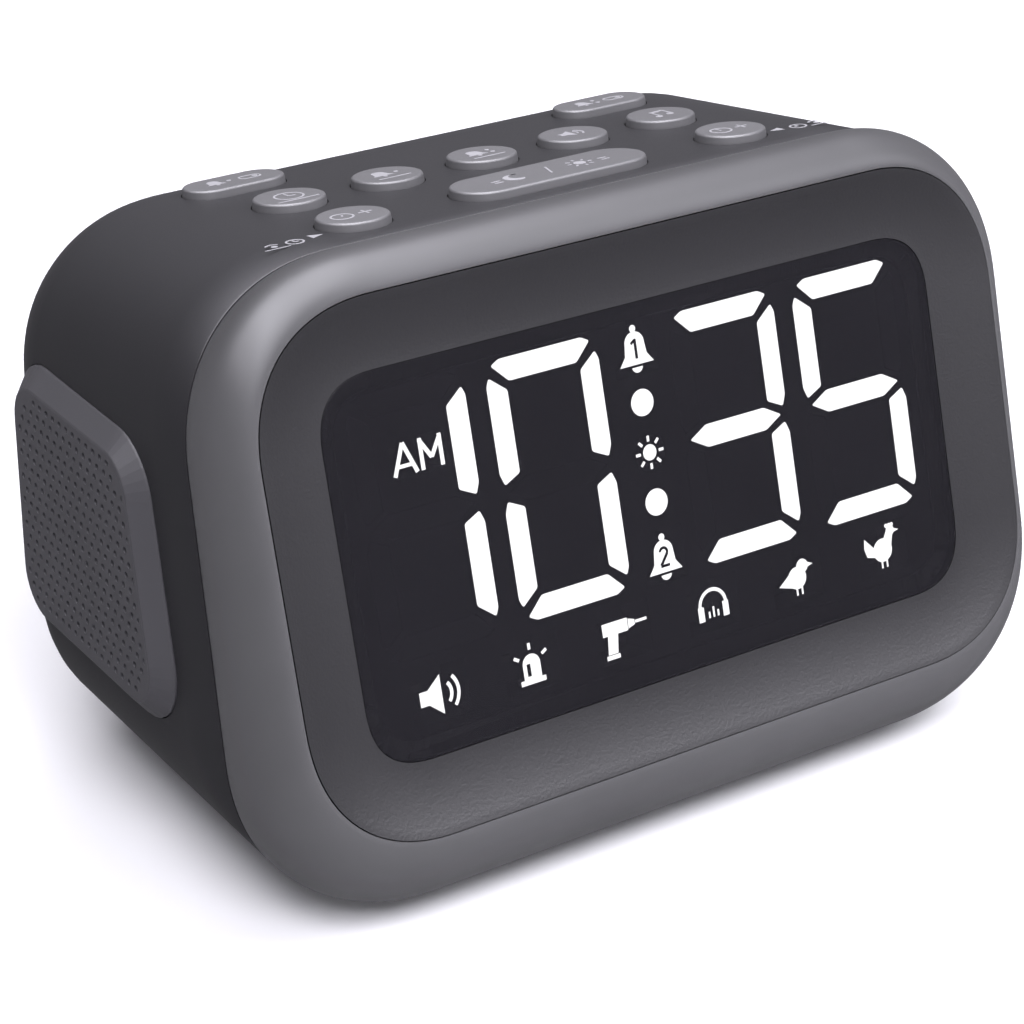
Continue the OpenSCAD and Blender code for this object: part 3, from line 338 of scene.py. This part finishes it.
def on_side():
    """Place on the left side at the seam: x forward, y up, z out of the side."""
    return Matrix.Translation((-front_w / 2, seam_y, seam_z)) @ \
        Matrix.Rotation(radians(-90) - side_taper, 4, "Z") @ Matrix.Rotation(radians(90), 4, "X")


def on_rear(x, z):
    """Place on the rear wall: x to the clock's left, y up, z out of the rear."""
    return turned((x, rear_y, rear_z + z), 90, 0, 180)


case_plastic = moulded("case plastic", (0.0128, 0.0123, 0.0146), 0.46, shine=0.34)

# Buttons in the top: name, distance to the right, distance behind the seam, radius, half length
button_x = 31.3
row_front, row_middle, row_rear = 9, 25.3, 40.4
button_r, alarm_r = 5.1, 3.9
snooze_half, alarm_half = 10.3, 3.8
button_gap = 0.15
buttons = [
    ("snooze_button", 0, row_front, button_r, snooze_half),
    ("hour_button", -button_x, row_front, button_r, 0),
    ("minute_button", button_x, row_front, button_r, 0),
    ("time_set_button", -button_x, row_middle, button_r, 0),
    ("alarm_1_set_button", -button_x / 2, row_middle, button_r, 0),
    ("alarm_2_set_button", 0, row_middle, button_r, 0),
    ("volume_button", button_x / 2, row_middle, button_r, 0),
    ("sound_button", button_x, row_middle, button_r, 0),
    ("alarm_1_button", -button_x, row_rear, alarm_r, alarm_half),
    ("alarm_2_button", button_x, row_rear, alarm_r, alarm_half),
]

# Grille pocket on the left side: a quadrilateral with a leaning front edge and round corners
grille_front, grille_rear, grille_top, grille_bottom = 12.4, 55.5, 18.2, -22
grille_lean = radians(11)
grille_corner, grille_pocket, grille_gap = 9, 1, 0.12
grille_corners = [
    (-(grille_front + (grille_top - 1.2) * tan(grille_lean)), grille_top),
    (-grille_rear, grille_top),
    (-grille_rear, grille_bottom),
    (-(grille_front + (grille_bottom - 1.2) * tan(grille_lean)), grille_bottom),
]


def round_quad(corners, radius, inset, steps=14):
    """Outline through four corners, each rounded to a radius, drawn in by an inset."""
    outline = []
    for i, corner in enumerate(corners):
        here = Vector(corner)
        before = (here - Vector(corners[i - 1])).normalized()
        after = (Vector(corners[(i + 1) % len(corners)]) - here).normalized()
        out_1, out_2 = Vector((before.y, -before.x)), Vector((after.y, -after.x))
        centre = here - (out_1 + out_2) * radius / (1 + out_1.dot(out_2))
        sweep = out_1.angle(out_2)
        for k in range(steps + 1):
            out = Matrix.Rotation(sweep * k / steps, 2) @ out_1
            outline.append(tuple(centre + out * (radius - inset)))
    return outline


# Battery door and power inlet in the rear wall
cell_d, cell_l, cells, cell_gap = 10.5, 44.5, 3, 0.5
battery_x, contact_room = 9, 3.5
battery_w, battery_h = cell_l + contact_room, cells * (cell_d + cell_gap) + cell_gap
door_rim, door_t, door_gap = 2.2, 1.5, 0.25
door_w, door_h = battery_w + 2 * door_rim, battery_h + 2 * door_rim
inlet_x, inlet_z, inlet_hole = -28, -12, 4


def box_outline(width, height, corner=0.3):
    return rounded_outline(width, height, corner, 2, steps=4)


outer = case_rings(0, 14)
inner = case_rings(wall, 6)
front_edge = [front_ring(0, edge_round), front_ring(edge_round * 0.3, edge_round * 0.3),
              front_ring(edge_round), front_ring(wall)]
case_shell = made("housing_shell", *lofted(outer + front_edge + inner[::-1]), case_plastic)

# Loudspeaker's opening behind the grille, seats of the feet, and wells of the case screws
speaker_d, speaker_lip, speaker_hole_depth = 36, 2.5, 8
foot_x, foot_d, foot_gap, foot_sunk = 38, 10, 0.15, 0.8
bottom_y = seam_y - front_h / 2 * sin(front_lean)
foot_rows = (bottom_y + 14, rear_y - rear_round - 4)
case_screw_x, case_screw_y = foot_x - 14, bottom_y + 9
screw_well_r, screw_well_end = 3.2, foot_h + 2


def foot_seat(y):
    """Height of a foot's seat in the bottom, which rises to the rear."""
    return foot_h + rear_rise * (y - bottom_y) / (rear_y - bottom_y) + foot_sunk


case_cutters = [prism(stadium(radius + button_gap, half), -wall - 3, 3, on_top(x, behind))
                for _, x, behind, radius, half in buttons]
grille_outline = round_quad(grille_corners, grille_corner, -grille_gap)
case_cutters.append(prism(grille_outline, -grille_pocket, 5, on_side()))
speaker_place = on_side() @ Matrix.Translation((-(grille_front + grille_rear) / 2 - 1,
                                                (grille_top + grille_bottom) / 2, 0))
case_cutters.append(prism(stadium(speaker_d / 2 - speaker_lip, 0), -speaker_hole_depth, 0,
                          speaker_place))
door_recess = box_outline(door_w + 2 * door_gap, door_h + 2 * door_gap)
case_cutters.append(prism(door_recess, -door_t - door_gap, 3, on_rear(battery_x, 0)))
battery_opening = box_outline(battery_w, battery_h)
case_cutters.append(prism(battery_opening, -wall - 1, 0, on_rear(battery_x, 0)))
case_cutters.append(prism(stadium(inlet_hole, 0), -wall - 1, 1, on_rear(inlet_x, inlet_z)))
for side in (-1, 1):
    for y in foot_rows:
        case_cutters.append(prism(stadium(foot_d / 2 + foot_gap, 0), -1, foot_seat(y),
                                  Matrix.Translation((side * foot_x, y, 0))))
    case_cutters.append(prism(stadium(screw_well_r, 0), -1, screw_well_end,
                              Matrix.Translation((side * case_screw_x, case_screw_y, 0))))
cut(case_shell, case_cutters)
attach(case_shell, "case")
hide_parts("housing")

# ---------------------------------------------------------------------------------------------
# Bezel ring: a thick convex moulding in satin grey round the display. Its spigot plugs into the
# housing, a ledge inside it carries the frame, and two screws from below hold it to the case.
ring_plastic = moulded("ring plastic", (0.074, 0.0735, 0.0758), 0.36, grain=0.04, shine=0.19)
face_lean = radians(15.1)
face_ahead, face_raise = 10.3, 5.2
opening_w, opening_h, opening_corner, opening_soft = 120, 71.4, 19.7, 2.31
opening_rise, bulge_steps = 2.15, 28
ledge_w, ledge_t, frame_t = 2, 1.8, 2
seam_gap, seam_line = 0.12, 0.3
spigot_in, spigot_t, spigot_share = wall + 0.3, 1.4, 2.4 / body_depth
display_place = Matrix.Translation((0, seam_y - face_ahead, seam_z + face_raise)) @ \
    Matrix.Rotation(pi / 2 - face_lean, 4, "X")


def opening_ring(inset, height):
    return [display_place @ Vector((x, y, height))
            for x, y in rounded_outline(opening_w, opening_h, opening_corner, opening_soft, inset)]


def bulged(inside, outside, t):
    """Ring at t of the convex section between the opening's edge and the housing's edge."""
    into = display_place.inverted()
    across = 3 * t * (1 - t) ** 2 * 0.45 + 3 * t * t * (1 - t) * 1.31 + t ** 3
    behind = 3 * t * t * (1 - t) * 0.43 + t ** 3
    ring = []
    for a, b in zip(inside, outside):
        start, end = into @ a, into @ b
        ring.append(display_place @ Vector((start.x + (end.x - start.x) * across,
                                            start.y + (end.y - start.y) * across,
                                            start.z + (end.z - start.z) * behind)))
    return ring


ledge_top, ledge_under = opening_rise - frame_t, opening_rise - frame_t - ledge_t
rim, seam = opening_ring(0, opening_rise), front_ring(0, -seam_line)
under, root = opening_ring(0, ledge_under), front_ring(spigot_in + spigot_t, -seam_line)
ring_rings = [opening_ring(0, opening_rise - 0.3), opening_ring(-0.07, opening_rise - 0.09)]
ring_rings += [bulged(rim, seam, t / bulge_steps) for t in range(1, bulge_steps)]
ring_rings += [front_ring(0, -seam_line - edge_round),
               front_ring(edge_round * 0.3, -seam_line - edge_round * 0.3),
               front_ring(edge_round, -seam_line), front_ring(spigot_in, -seam_line),
               body_ring(spigot_in, spigot_share), body_ring(spigot_in + spigot_t, spigot_share)]
ring_rings += [bulged(under, root, t) for t in (1, 0.75, 0.5, 0.25, 0)]
ring_rings += [opening_ring(ledge_w, ledge_under), opening_ring(ledge_w, ledge_top),
               opening_ring(0, ledge_top)]
bezel_ring = made("bezel_ring", *lofted(ring_rings, closed=True), ring_plastic)
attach(bezel_ring, "case")
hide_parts("front_bezel")

# ---------------------------------------------------------------------------------------------
# Display frame: a dark moulding with a coarser grain that dishes from the ring's edge down to
# the window. It rests on the ring's ledge and carries the window and the display board's posts.
frame_plastic = moulded("frame plastic", (0.011, 0.0105, 0.0124), 0.5, grain=0.42, shine=0.7,
                        grain_size=2300)
window_w, window_h, window_corner, window_soft, window_t = 100, 51.4, 9.7, 2.7, 1.5
window_gap, window_ledge = 0.1, 2.4
frame_under, frame_gap = -window_t - 1.2, ledge_w + 0.3
dish_steps, dish_curve = 16, 1.7


def window_ring(inset, height):
    return [display_place @ Vector((x, y, height))
            for x, y in rounded_outline(window_w, window_h, window_corner, window_soft, inset)]


frame_edge = opening_ring(seam_gap, 0)
frame_sill = window_ring(-window_gap, 0)
dish = []
into_display = display_place.inverted()
for step in range(dish_steps + 1):
    share = 1 - step / dish_steps
    height = opening_rise * share ** dish_curve
    if step == 0:
        height -= 0.06
    between = [(into_display @ sill).lerp(into_display @ edge, share)
               for sill, edge in zip(frame_sill, frame_edge)]
    dish.append([display_place @ Vector((*point.xy, height)) for point in between])
frame_back = [window_ring(-window_gap, -window_t), window_ring(window_ledge, -window_t),
              window_ring(window_ledge, frame_under), opening_ring(frame_gap, frame_under),
              opening_ring(frame_gap, ledge_top), opening_ring(seam_gap, ledge_top),
              opening_ring(seam_gap, opening_rise - 0.25)]
frame_piece = made("display_frame", *lofted(dish + frame_back, closed=True), frame_plastic)
post_r, post_x, post_y, post_end = 2.6, 34, window_h / 2 + 3.4, -(window_t + 6.8)
for x in (-post_x, post_x):
    for y in (-post_y, post_y):
        post_name = f"display_post_{x:+.0f}_{y:+.0f}".replace("+", "p").replace("-", "m")
        post_ends = [[(px, py, z) for px, py in stadium(post_r, 0, 12)]
                     for z in (frame_under, post_end)]
        post = made(post_name, *lofted(post_ends), frame_plastic,
                    place=display_place @ Matrix.Translation((x, y, 0)))
        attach(post, "case")
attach(frame_piece, "case")
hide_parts("front_frame")

# ---------------------------------------------------------------------------------------------
# Window: a flat plate of smoked polycarbonate let into the frame, satin in front. It passes a
# little light, so the lit shapes behind it show white and everything else stays dark.
smoked = moulded("smoked window", (0.0125, 0.012, 0.0145), 0.42, grain=0.0, shine=0.08)
links = smoked.node_tree.links
clear = smoked.node_tree.nodes.new("ShaderNodeBsdfTransparent")
clear.inputs["Color"].default_value = (1, 1, 1, 1)
veil = smoked.node_tree.nodes.new("ShaderNodeMixShader")
veil.inputs["Fac"].default_value = 0.7
links.new(clear.outputs["BSDF"], veil.inputs[1])
links.new(smoked.node_tree.nodes["Principled BSDF"].outputs["BSDF"], veil.inputs[2])
links.new(veil.outputs["Shader"], smoked.node_tree.nodes["Material Output"].inputs["Surface"])
window_rings = [window_ring(0.1, 0), window_ring(0, -0.1), window_ring(0, -window_t)]
window_plate = made("window_plate", *lofted(window_rings[::-1]), smoked)
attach(window_plate, "case")
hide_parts("display_window")

# ---------------------------------------------------------------------------------------------
# Display module: milky diffusers lit white by the LEDs on the board behind them, each in its
# own well of a black moulded reflector. The unlit segments keep a dark tint.


def finished(material, *names):
    """Gives CAD pieces whose shape stays their real finish."""
    for name in names:
        mesh = frame["nodes"][name].data
        mesh.materials.clear()
        mesh.materials.append(material)
        mesh.polygons.foreach_set("material_index", [0] * len(mesh.polygons))


def lit(name, strength):
    material = moulded(name, (0.8, 0.8, 0.8), 0.5, grain=0)
    shader = material.node_tree.nodes["Principled BSDF"]
    shader.inputs["Emission Color"].default_value = (1, 1, 1, 1)
    shader.inputs["Emission Strength"].default_value = strength
    return material


def faces_forward(polygon):
    return polygon.normal.dot(display_place.to_3x3() @ Vector((0, 0, 1))) > 0.7


def painted_behind(material, behind, name):
    """The first material on the faces that look out of the window, the other on the rest."""
    mesh = frame["nodes"][name].data
    mesh.materials.clear()
    for each in (material, behind):
        mesh.materials.append(each)
    choice = [0 if faces_forward(face) else 1 for face in mesh.polygons]
    mesh.polygons.foreach_set("material_index", choice)


black_plastic = moulded("black plastic", (0.004, 0.004, 0.0045), 0.5, grain=0.1, shine=0.15)
painted_behind(lit("lit diffuser", 13), black_plastic, "display_lit")
finished(moulded("unlit diffuser", (0.012, 0.012, 0.014), 0.5, grain=0.05), "display_unlit")
finished(black_plastic, "display_reflector", "main_chip", "battery_box", "power_inlet",
         "button_switches")

# ---------------------------------------------------------------------------------------------
# Buttons: caps of pale grey ABS moulded with a slight draft, a rounded top edge, a flange that
# holds them under the case and a stem over the push switch. Each slides on its own.
cap_h, flange_gap, flange_t, flange_w, stem_r = 1.2, 0.3, 1, 0.8, 1.6
button_pcb_depth, switch_h, plunger_h, button_travel, stem_gap = 12, 3.5, 1.2, 0.6, 0.1
stem_end = -button_pcb_depth + switch_h + plunger_h + button_travel + stem_gap
cap_round, cap_crown = 0.4, 0.02
button_plastic = moulded("button plastic", (0.095, 0.094, 0.098), 0.5, grain=0.06, shine=0.5)


def cap_mesh(radius, half):
    """Rings of a cap from under its flange, over the rounded edge, to the middle of the top."""
    low = -wall - flange_gap
    section = [(radius + flange_w, low - flange_t), (radius + flange_w, low), (radius, low),
               (radius, 0.05), (radius - 0.05, 0.45), (radius - 0.1, cap_h - 0.42)]
    section += [(radius - 0.5 + cap_round * cos(a), cap_h - cap_round + cap_round * sin(a))
                for a in [radians(turn) for turn in range(10, 91, 10)]]
    section += [(radius * share, cap_h - cap_crown * (1 - share)) for share in (0.75, 0.5, 0.2)]
    points, faces = lofted([[(x, y, z) for x, y in stadium(r, half, 28)] for r, z in section])
    stem_points, stem_faces = lofted([[(x, y, z) for x, y in stadium(stem_r, 0, 16)]
                                      for z in (stem_end, low - flange_t + 0.05)])
    start = len(points)
    return points + stem_points, faces + [tuple(i + start for i in face) for face in stem_faces]


for name, x, behind, radius, half in buttons:
    cap = made(name.replace("button", "cap"), *cap_mesh(radius, half), button_plastic,
               place=on_top(x, behind))
    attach(cap, name)
    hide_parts(name)

# ---------------------------------------------------------------------------------------------
# Printing: small plain pictures pad-printed in light grey ink on the caps, and beside the hour
# and minute buttons a pointer with a held-finger dial. The ink is a few hundredths thick.
ink = moulded("light grey ink", (0.3, 0.297, 0.312), 0.6, grain=0.0)


def line(ax, ay, bx, by, width=0.3):
    along = Vector((bx - ax, by - ay)).normalized() * width / 2
    side = Vector((-along.y, along.x))
    a, b = Vector((ax, ay)), Vector((bx, by))
    return [tuple(a - side), tuple(b - side), tuple(b + side), tuple(a + side)]


def disc(x, y, radius, steps=20):
    turns = [2 * pi * i / steps for i in range(steps)]
    return [(x + radius * cos(a), y + radius * sin(a)) for a in turns]


def arc(x, y, radius, start, end, width=0.3, steps=20):
    turns = [radians(start + (end - start) * i / steps) for i in range(steps + 1)]
    outer_r, inner_r = radius + width / 2, radius - width / 2
    return [(x + outer_r * cos(a), y + outer_r * sin(a)) for a in turns] + \
        [(x + inner_r * cos(a), y + inner_r * sin(a)) for a in reversed(turns)]


def dial(x, y, radius, *hands):
    """Clock face: two half rings, and a hand at each angle and length."""
    halves = [arc(x, y, radius, 0, 180), arc(x, y, radius, 180, 360)]
    return halves + [line(x, y, x + r * cos(radians(a)), y + r * sin(radians(a)), 0.28)
                     for a, r in hands]


def bell(x, y, size, dots):
    """Bell with its clapper, and a column of dots beside it."""
    body = [(-1, -0.62), (1, -0.62), (0.72, -0.3), (0.62, 0.4)]
    body += [(0.62 * cos(radians(a)), 0.4 + 0.55 * sin(radians(a))) for a in range(20, 180, 20)]
    body += [(-0.62, 0.4), (-0.72, -0.3)]
    count = [disc(x + size * 1.1 + 0.75, y + 0.75 * (dots - 1) - 1.5 * k, 0.34)
             for k in range(dots)]
    clapper = disc(x, y - size * 0.86, size * 0.2)
    return [[(x + size * u, y + size * v) for u, v in body], clapper] + count


def switch(x, y):
    """Small slide switch: a rounded frame with its knob to the right."""
    return [arc(x - 0.8, y, 0.8, 90, 270), arc(x + 0.8, y, 0.8, -90, 90),
            line(x - 0.8, y + 0.8, x + 0.8, y + 0.8), line(x - 0.8, y - 0.8, x + 0.8, y - 0.8),
            disc(x + 0.8, y, 0.42)]


def note(x, y):
    return [disc(x - 1.1, y - 1.3, 0.55), disc(x + 1.1, y - 0.9, 0.55),
            line(x - 0.65, y - 1.2, x - 0.65, y + 1.5), line(x + 1.55, y - 0.8, x + 1.55, y + 1.9),
            line(x - 0.8, y + 1.45, x + 1.7, y + 1.85, 0.6)]


def horn(x, y):
    return [[(x - 2, y - 0.6), (x - 1.2, y - 0.6), (x, y - 1.5), (x, y + 1.5),
             (x - 1.2, y + 0.6), (x - 2, y + 0.6)],
            arc(x, y, 0.9, -50, 50), arc(x, y, 1.7, -50, 50)]


def moon(x, y):
    outside = [(x + 1.7 * cos(radians(a)), y + 1.7 * sin(radians(a))) for a in range(50, 291, 12)]
    inside = [(x + 0.75 + 1.35 * cos(radians(a)), y + 0.4 + 1.35 * sin(radians(a)))
              for a in range(280, 69, -12)]
    return [outside + inside]


def sun(x, y):
    rays = [line(x + 1.35 * cos(a), y + 1.35 * sin(a), x + 2 * cos(a), y + 2 * sin(a))
            for a in [radians(45 * k) for k in range(8)]]
    return [disc(x, y, 0.9)] + rays


plus = [line(0.9, 0, 2.9, 0), line(1.9, -1, 1.9, 1)]
set_bar = [line(-2.6, -2.1, 2.6, -2.1)]
snooze_bars = [line(-9.4, -0.9, -8, -0.9), line(-9.4, 0, -8, 0),
               line(8.2, 0, 9.6, 0), line(8.2, -0.9, 9.6, -0.9)]
printing = {
    "snooze": moon(-5.5, 0) + [line(-0.6, -1.7, 0.6, 1.7)] + sun(5.2, 0) + snooze_bars,
    "hour": dial(-1.6, 0, 1.5, (60, 0.8)) + plus,
    "minute": dial(-1.6, 0, 1.5, (90, 1.3)) + plus,
    "time_set": dial(0, 0, 2, (90, 1.5), (0, 1)) + [line(-3.2, -2.6, 3.2, -2.6)],
    "alarm_1_set": bell(-0.7, 0.6, 1.6, 1) + set_bar,
    "alarm_2_set": bell(-0.7, 0.6, 1.6, 2) + set_bar,
    "volume": horn(0, 0.2),
    "sound": note(0, 0),
    "alarm_1": bell(-2.9, 0.2, 1.4, 1) + switch(2.6, 0),
    "alarm_2": bell(-2.9, 0.2, 1.4, 2) + switch(2.6, 0),
}


ink_half = 0.02


def printed(name, loops, place, body, height):
    """One printed picture: thin plates of ink standing on a surface at that height."""
    points, faces = [], []
    for loop in loops:
        plate_points, plate_faces = lofted([[(x, y, height + z) for x, y in loop]
                                            for z in (-ink_half, ink_half)])
        faces += [tuple(i + len(points) for i in face) for face in plate_faces]
        points += plate_points
    picture = made(name, points, faces, ink, place=place)
    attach(picture, body)
    return picture


for name, x, behind, radius, half in buttons:
    key = name.replace("_button", "")
    printed(f"{key}_print", printing[key], on_top(x, behind), name, cap_h)

pointer = [(1.6, 0), (-0.4, 0.9), (-0.4, -0.9)]
hint = [pointer, *dial(-3, -0.6, 1.15, (90, 0.8), (0, 0.6)), arc(-6.2, -0.6, 1, 30, 150),
        disc(-6.2, -0.8, 0.45), line(-8.2, -1.9, -4.4, -1.9, 0.25)]
hint_x, hint_row = button_x + button_r + 2.2, row_front - 1.8
printed("hour_hint", hint, on_top(-hint_x, hint_row), "case", 0)
mirrored = [[(-x, y) for x, y in reversed(loop)] for loop in hint]
printed("minute_hint", mirrored, on_top(hint_x, hint_row), "case", 0)

# ---------------------------------------------------------------------------------------------
# Grille and door: the raised loudspeaker grille, moulded in mid grey with its lattice of holes
# and heat-staked into the case's side over a thin black cloth, and the battery door behind.
grille_plastic = moulded("grille plastic", (0.046, 0.0447, 0.0498), 0.45, grain=0.06, shine=0.47)
finished(grille_plastic, "speaker_grille")
finished(case_plastic, "battery_door")
cloth = moulded("black cloth", (0.006, 0.006, 0.007), 0.9, grain=0.6, shine=0.1,
                grain_size=2500)
finished(cloth, "grille_cloth")

# ---------------------------------------------------------------------------------------------
# Loudspeaker: a pressed steel basket with a ferrite magnet, a pressed paper cone and dust cap
# hung on a rubber roll, sealed to the case by a foam ring and held by three screws.
rubber = moulded("black rubber", (0.012, 0.012, 0.012), 0.65, grain=0.15)
cone_paper = moulded("black paper", (0.016, 0.016, 0.017), 0.8, grain=0.5, shine=0.2,
                     grain_size=1800)
ferrite = moulded("ferrite", (0.03, 0.03, 0.033), 0.6, grain=0.3)


def metal(name, colour, rough, scratch=0.15):
    material = moulded(name, colour, rough, grain=scratch, grain_size=900)
    material.node_tree.nodes["Principled BSDF"].inputs["Metallic"].default_value = 1
    return material


pressed_steel = metal("pressed steel", (0.42, 0.43, 0.45), 0.35)
finished(rubber, "speaker_gasket", "speaker_surround", "rubber_feet")
finished(cone_paper, "speaker_cone", "speaker_dust_cap")
finished(ferrite, "speaker_magnet")
finished(pressed_steel, "speaker_basket")

# ---------------------------------------------------------------------------------------------
# Boards, power and fixings: glass-fibre boards under green solder mask, or black behind the
# display, a plated crystal, sleeved capacitors and cells, contacts, zinc screws and ribbons.
mask = moulded("solder mask", (0.012, 0.09, 0.035), 0.3, grain=0.1, grain_size=1500)
black_mask = moulded("black solder mask", (0.004, 0.004, 0.004), 0.35, grain=0.1, shine=0.2,
                     grain_size=1500)
zinc = metal("zinc plate", (0.55, 0.56, 0.58), 0.3)
nickel = metal("nickel plate", (0.62, 0.61, 0.58), 0.22)
finished(mask, "button_board", "main_board")
finished(black_mask, "display_board")
finished(moulded("led package", (0.16, 0.14, 0.07), 0.4, grain=0), "display_leds")
finished(zinc, "display_screws", "button_screws", "speaker_screws", "board_screws", "case_screws")
finished(nickel, "clock_crystal", "battery_springs", "battery_plates", "inlet_pin")
finished(moulded("capacitor sleeve", (0.02, 0.03, 0.07), 0.25, grain=0.02), "board_capacitors")
finished(moulded("cell sleeve", (0.2, 0.22, 0.25), 0.3, grain=0.02), "battery_cells")
finished(moulded("ribbon", (0.32, 0.32, 0.35), 0.5, grain=0.3, grain_size=700),
         "display_ribbon", "button_ribbon")
finished(moulded("lead sleeve", (0.38, 0.04, 0.03), 0.45, grain=0.1), "speaker_lead")
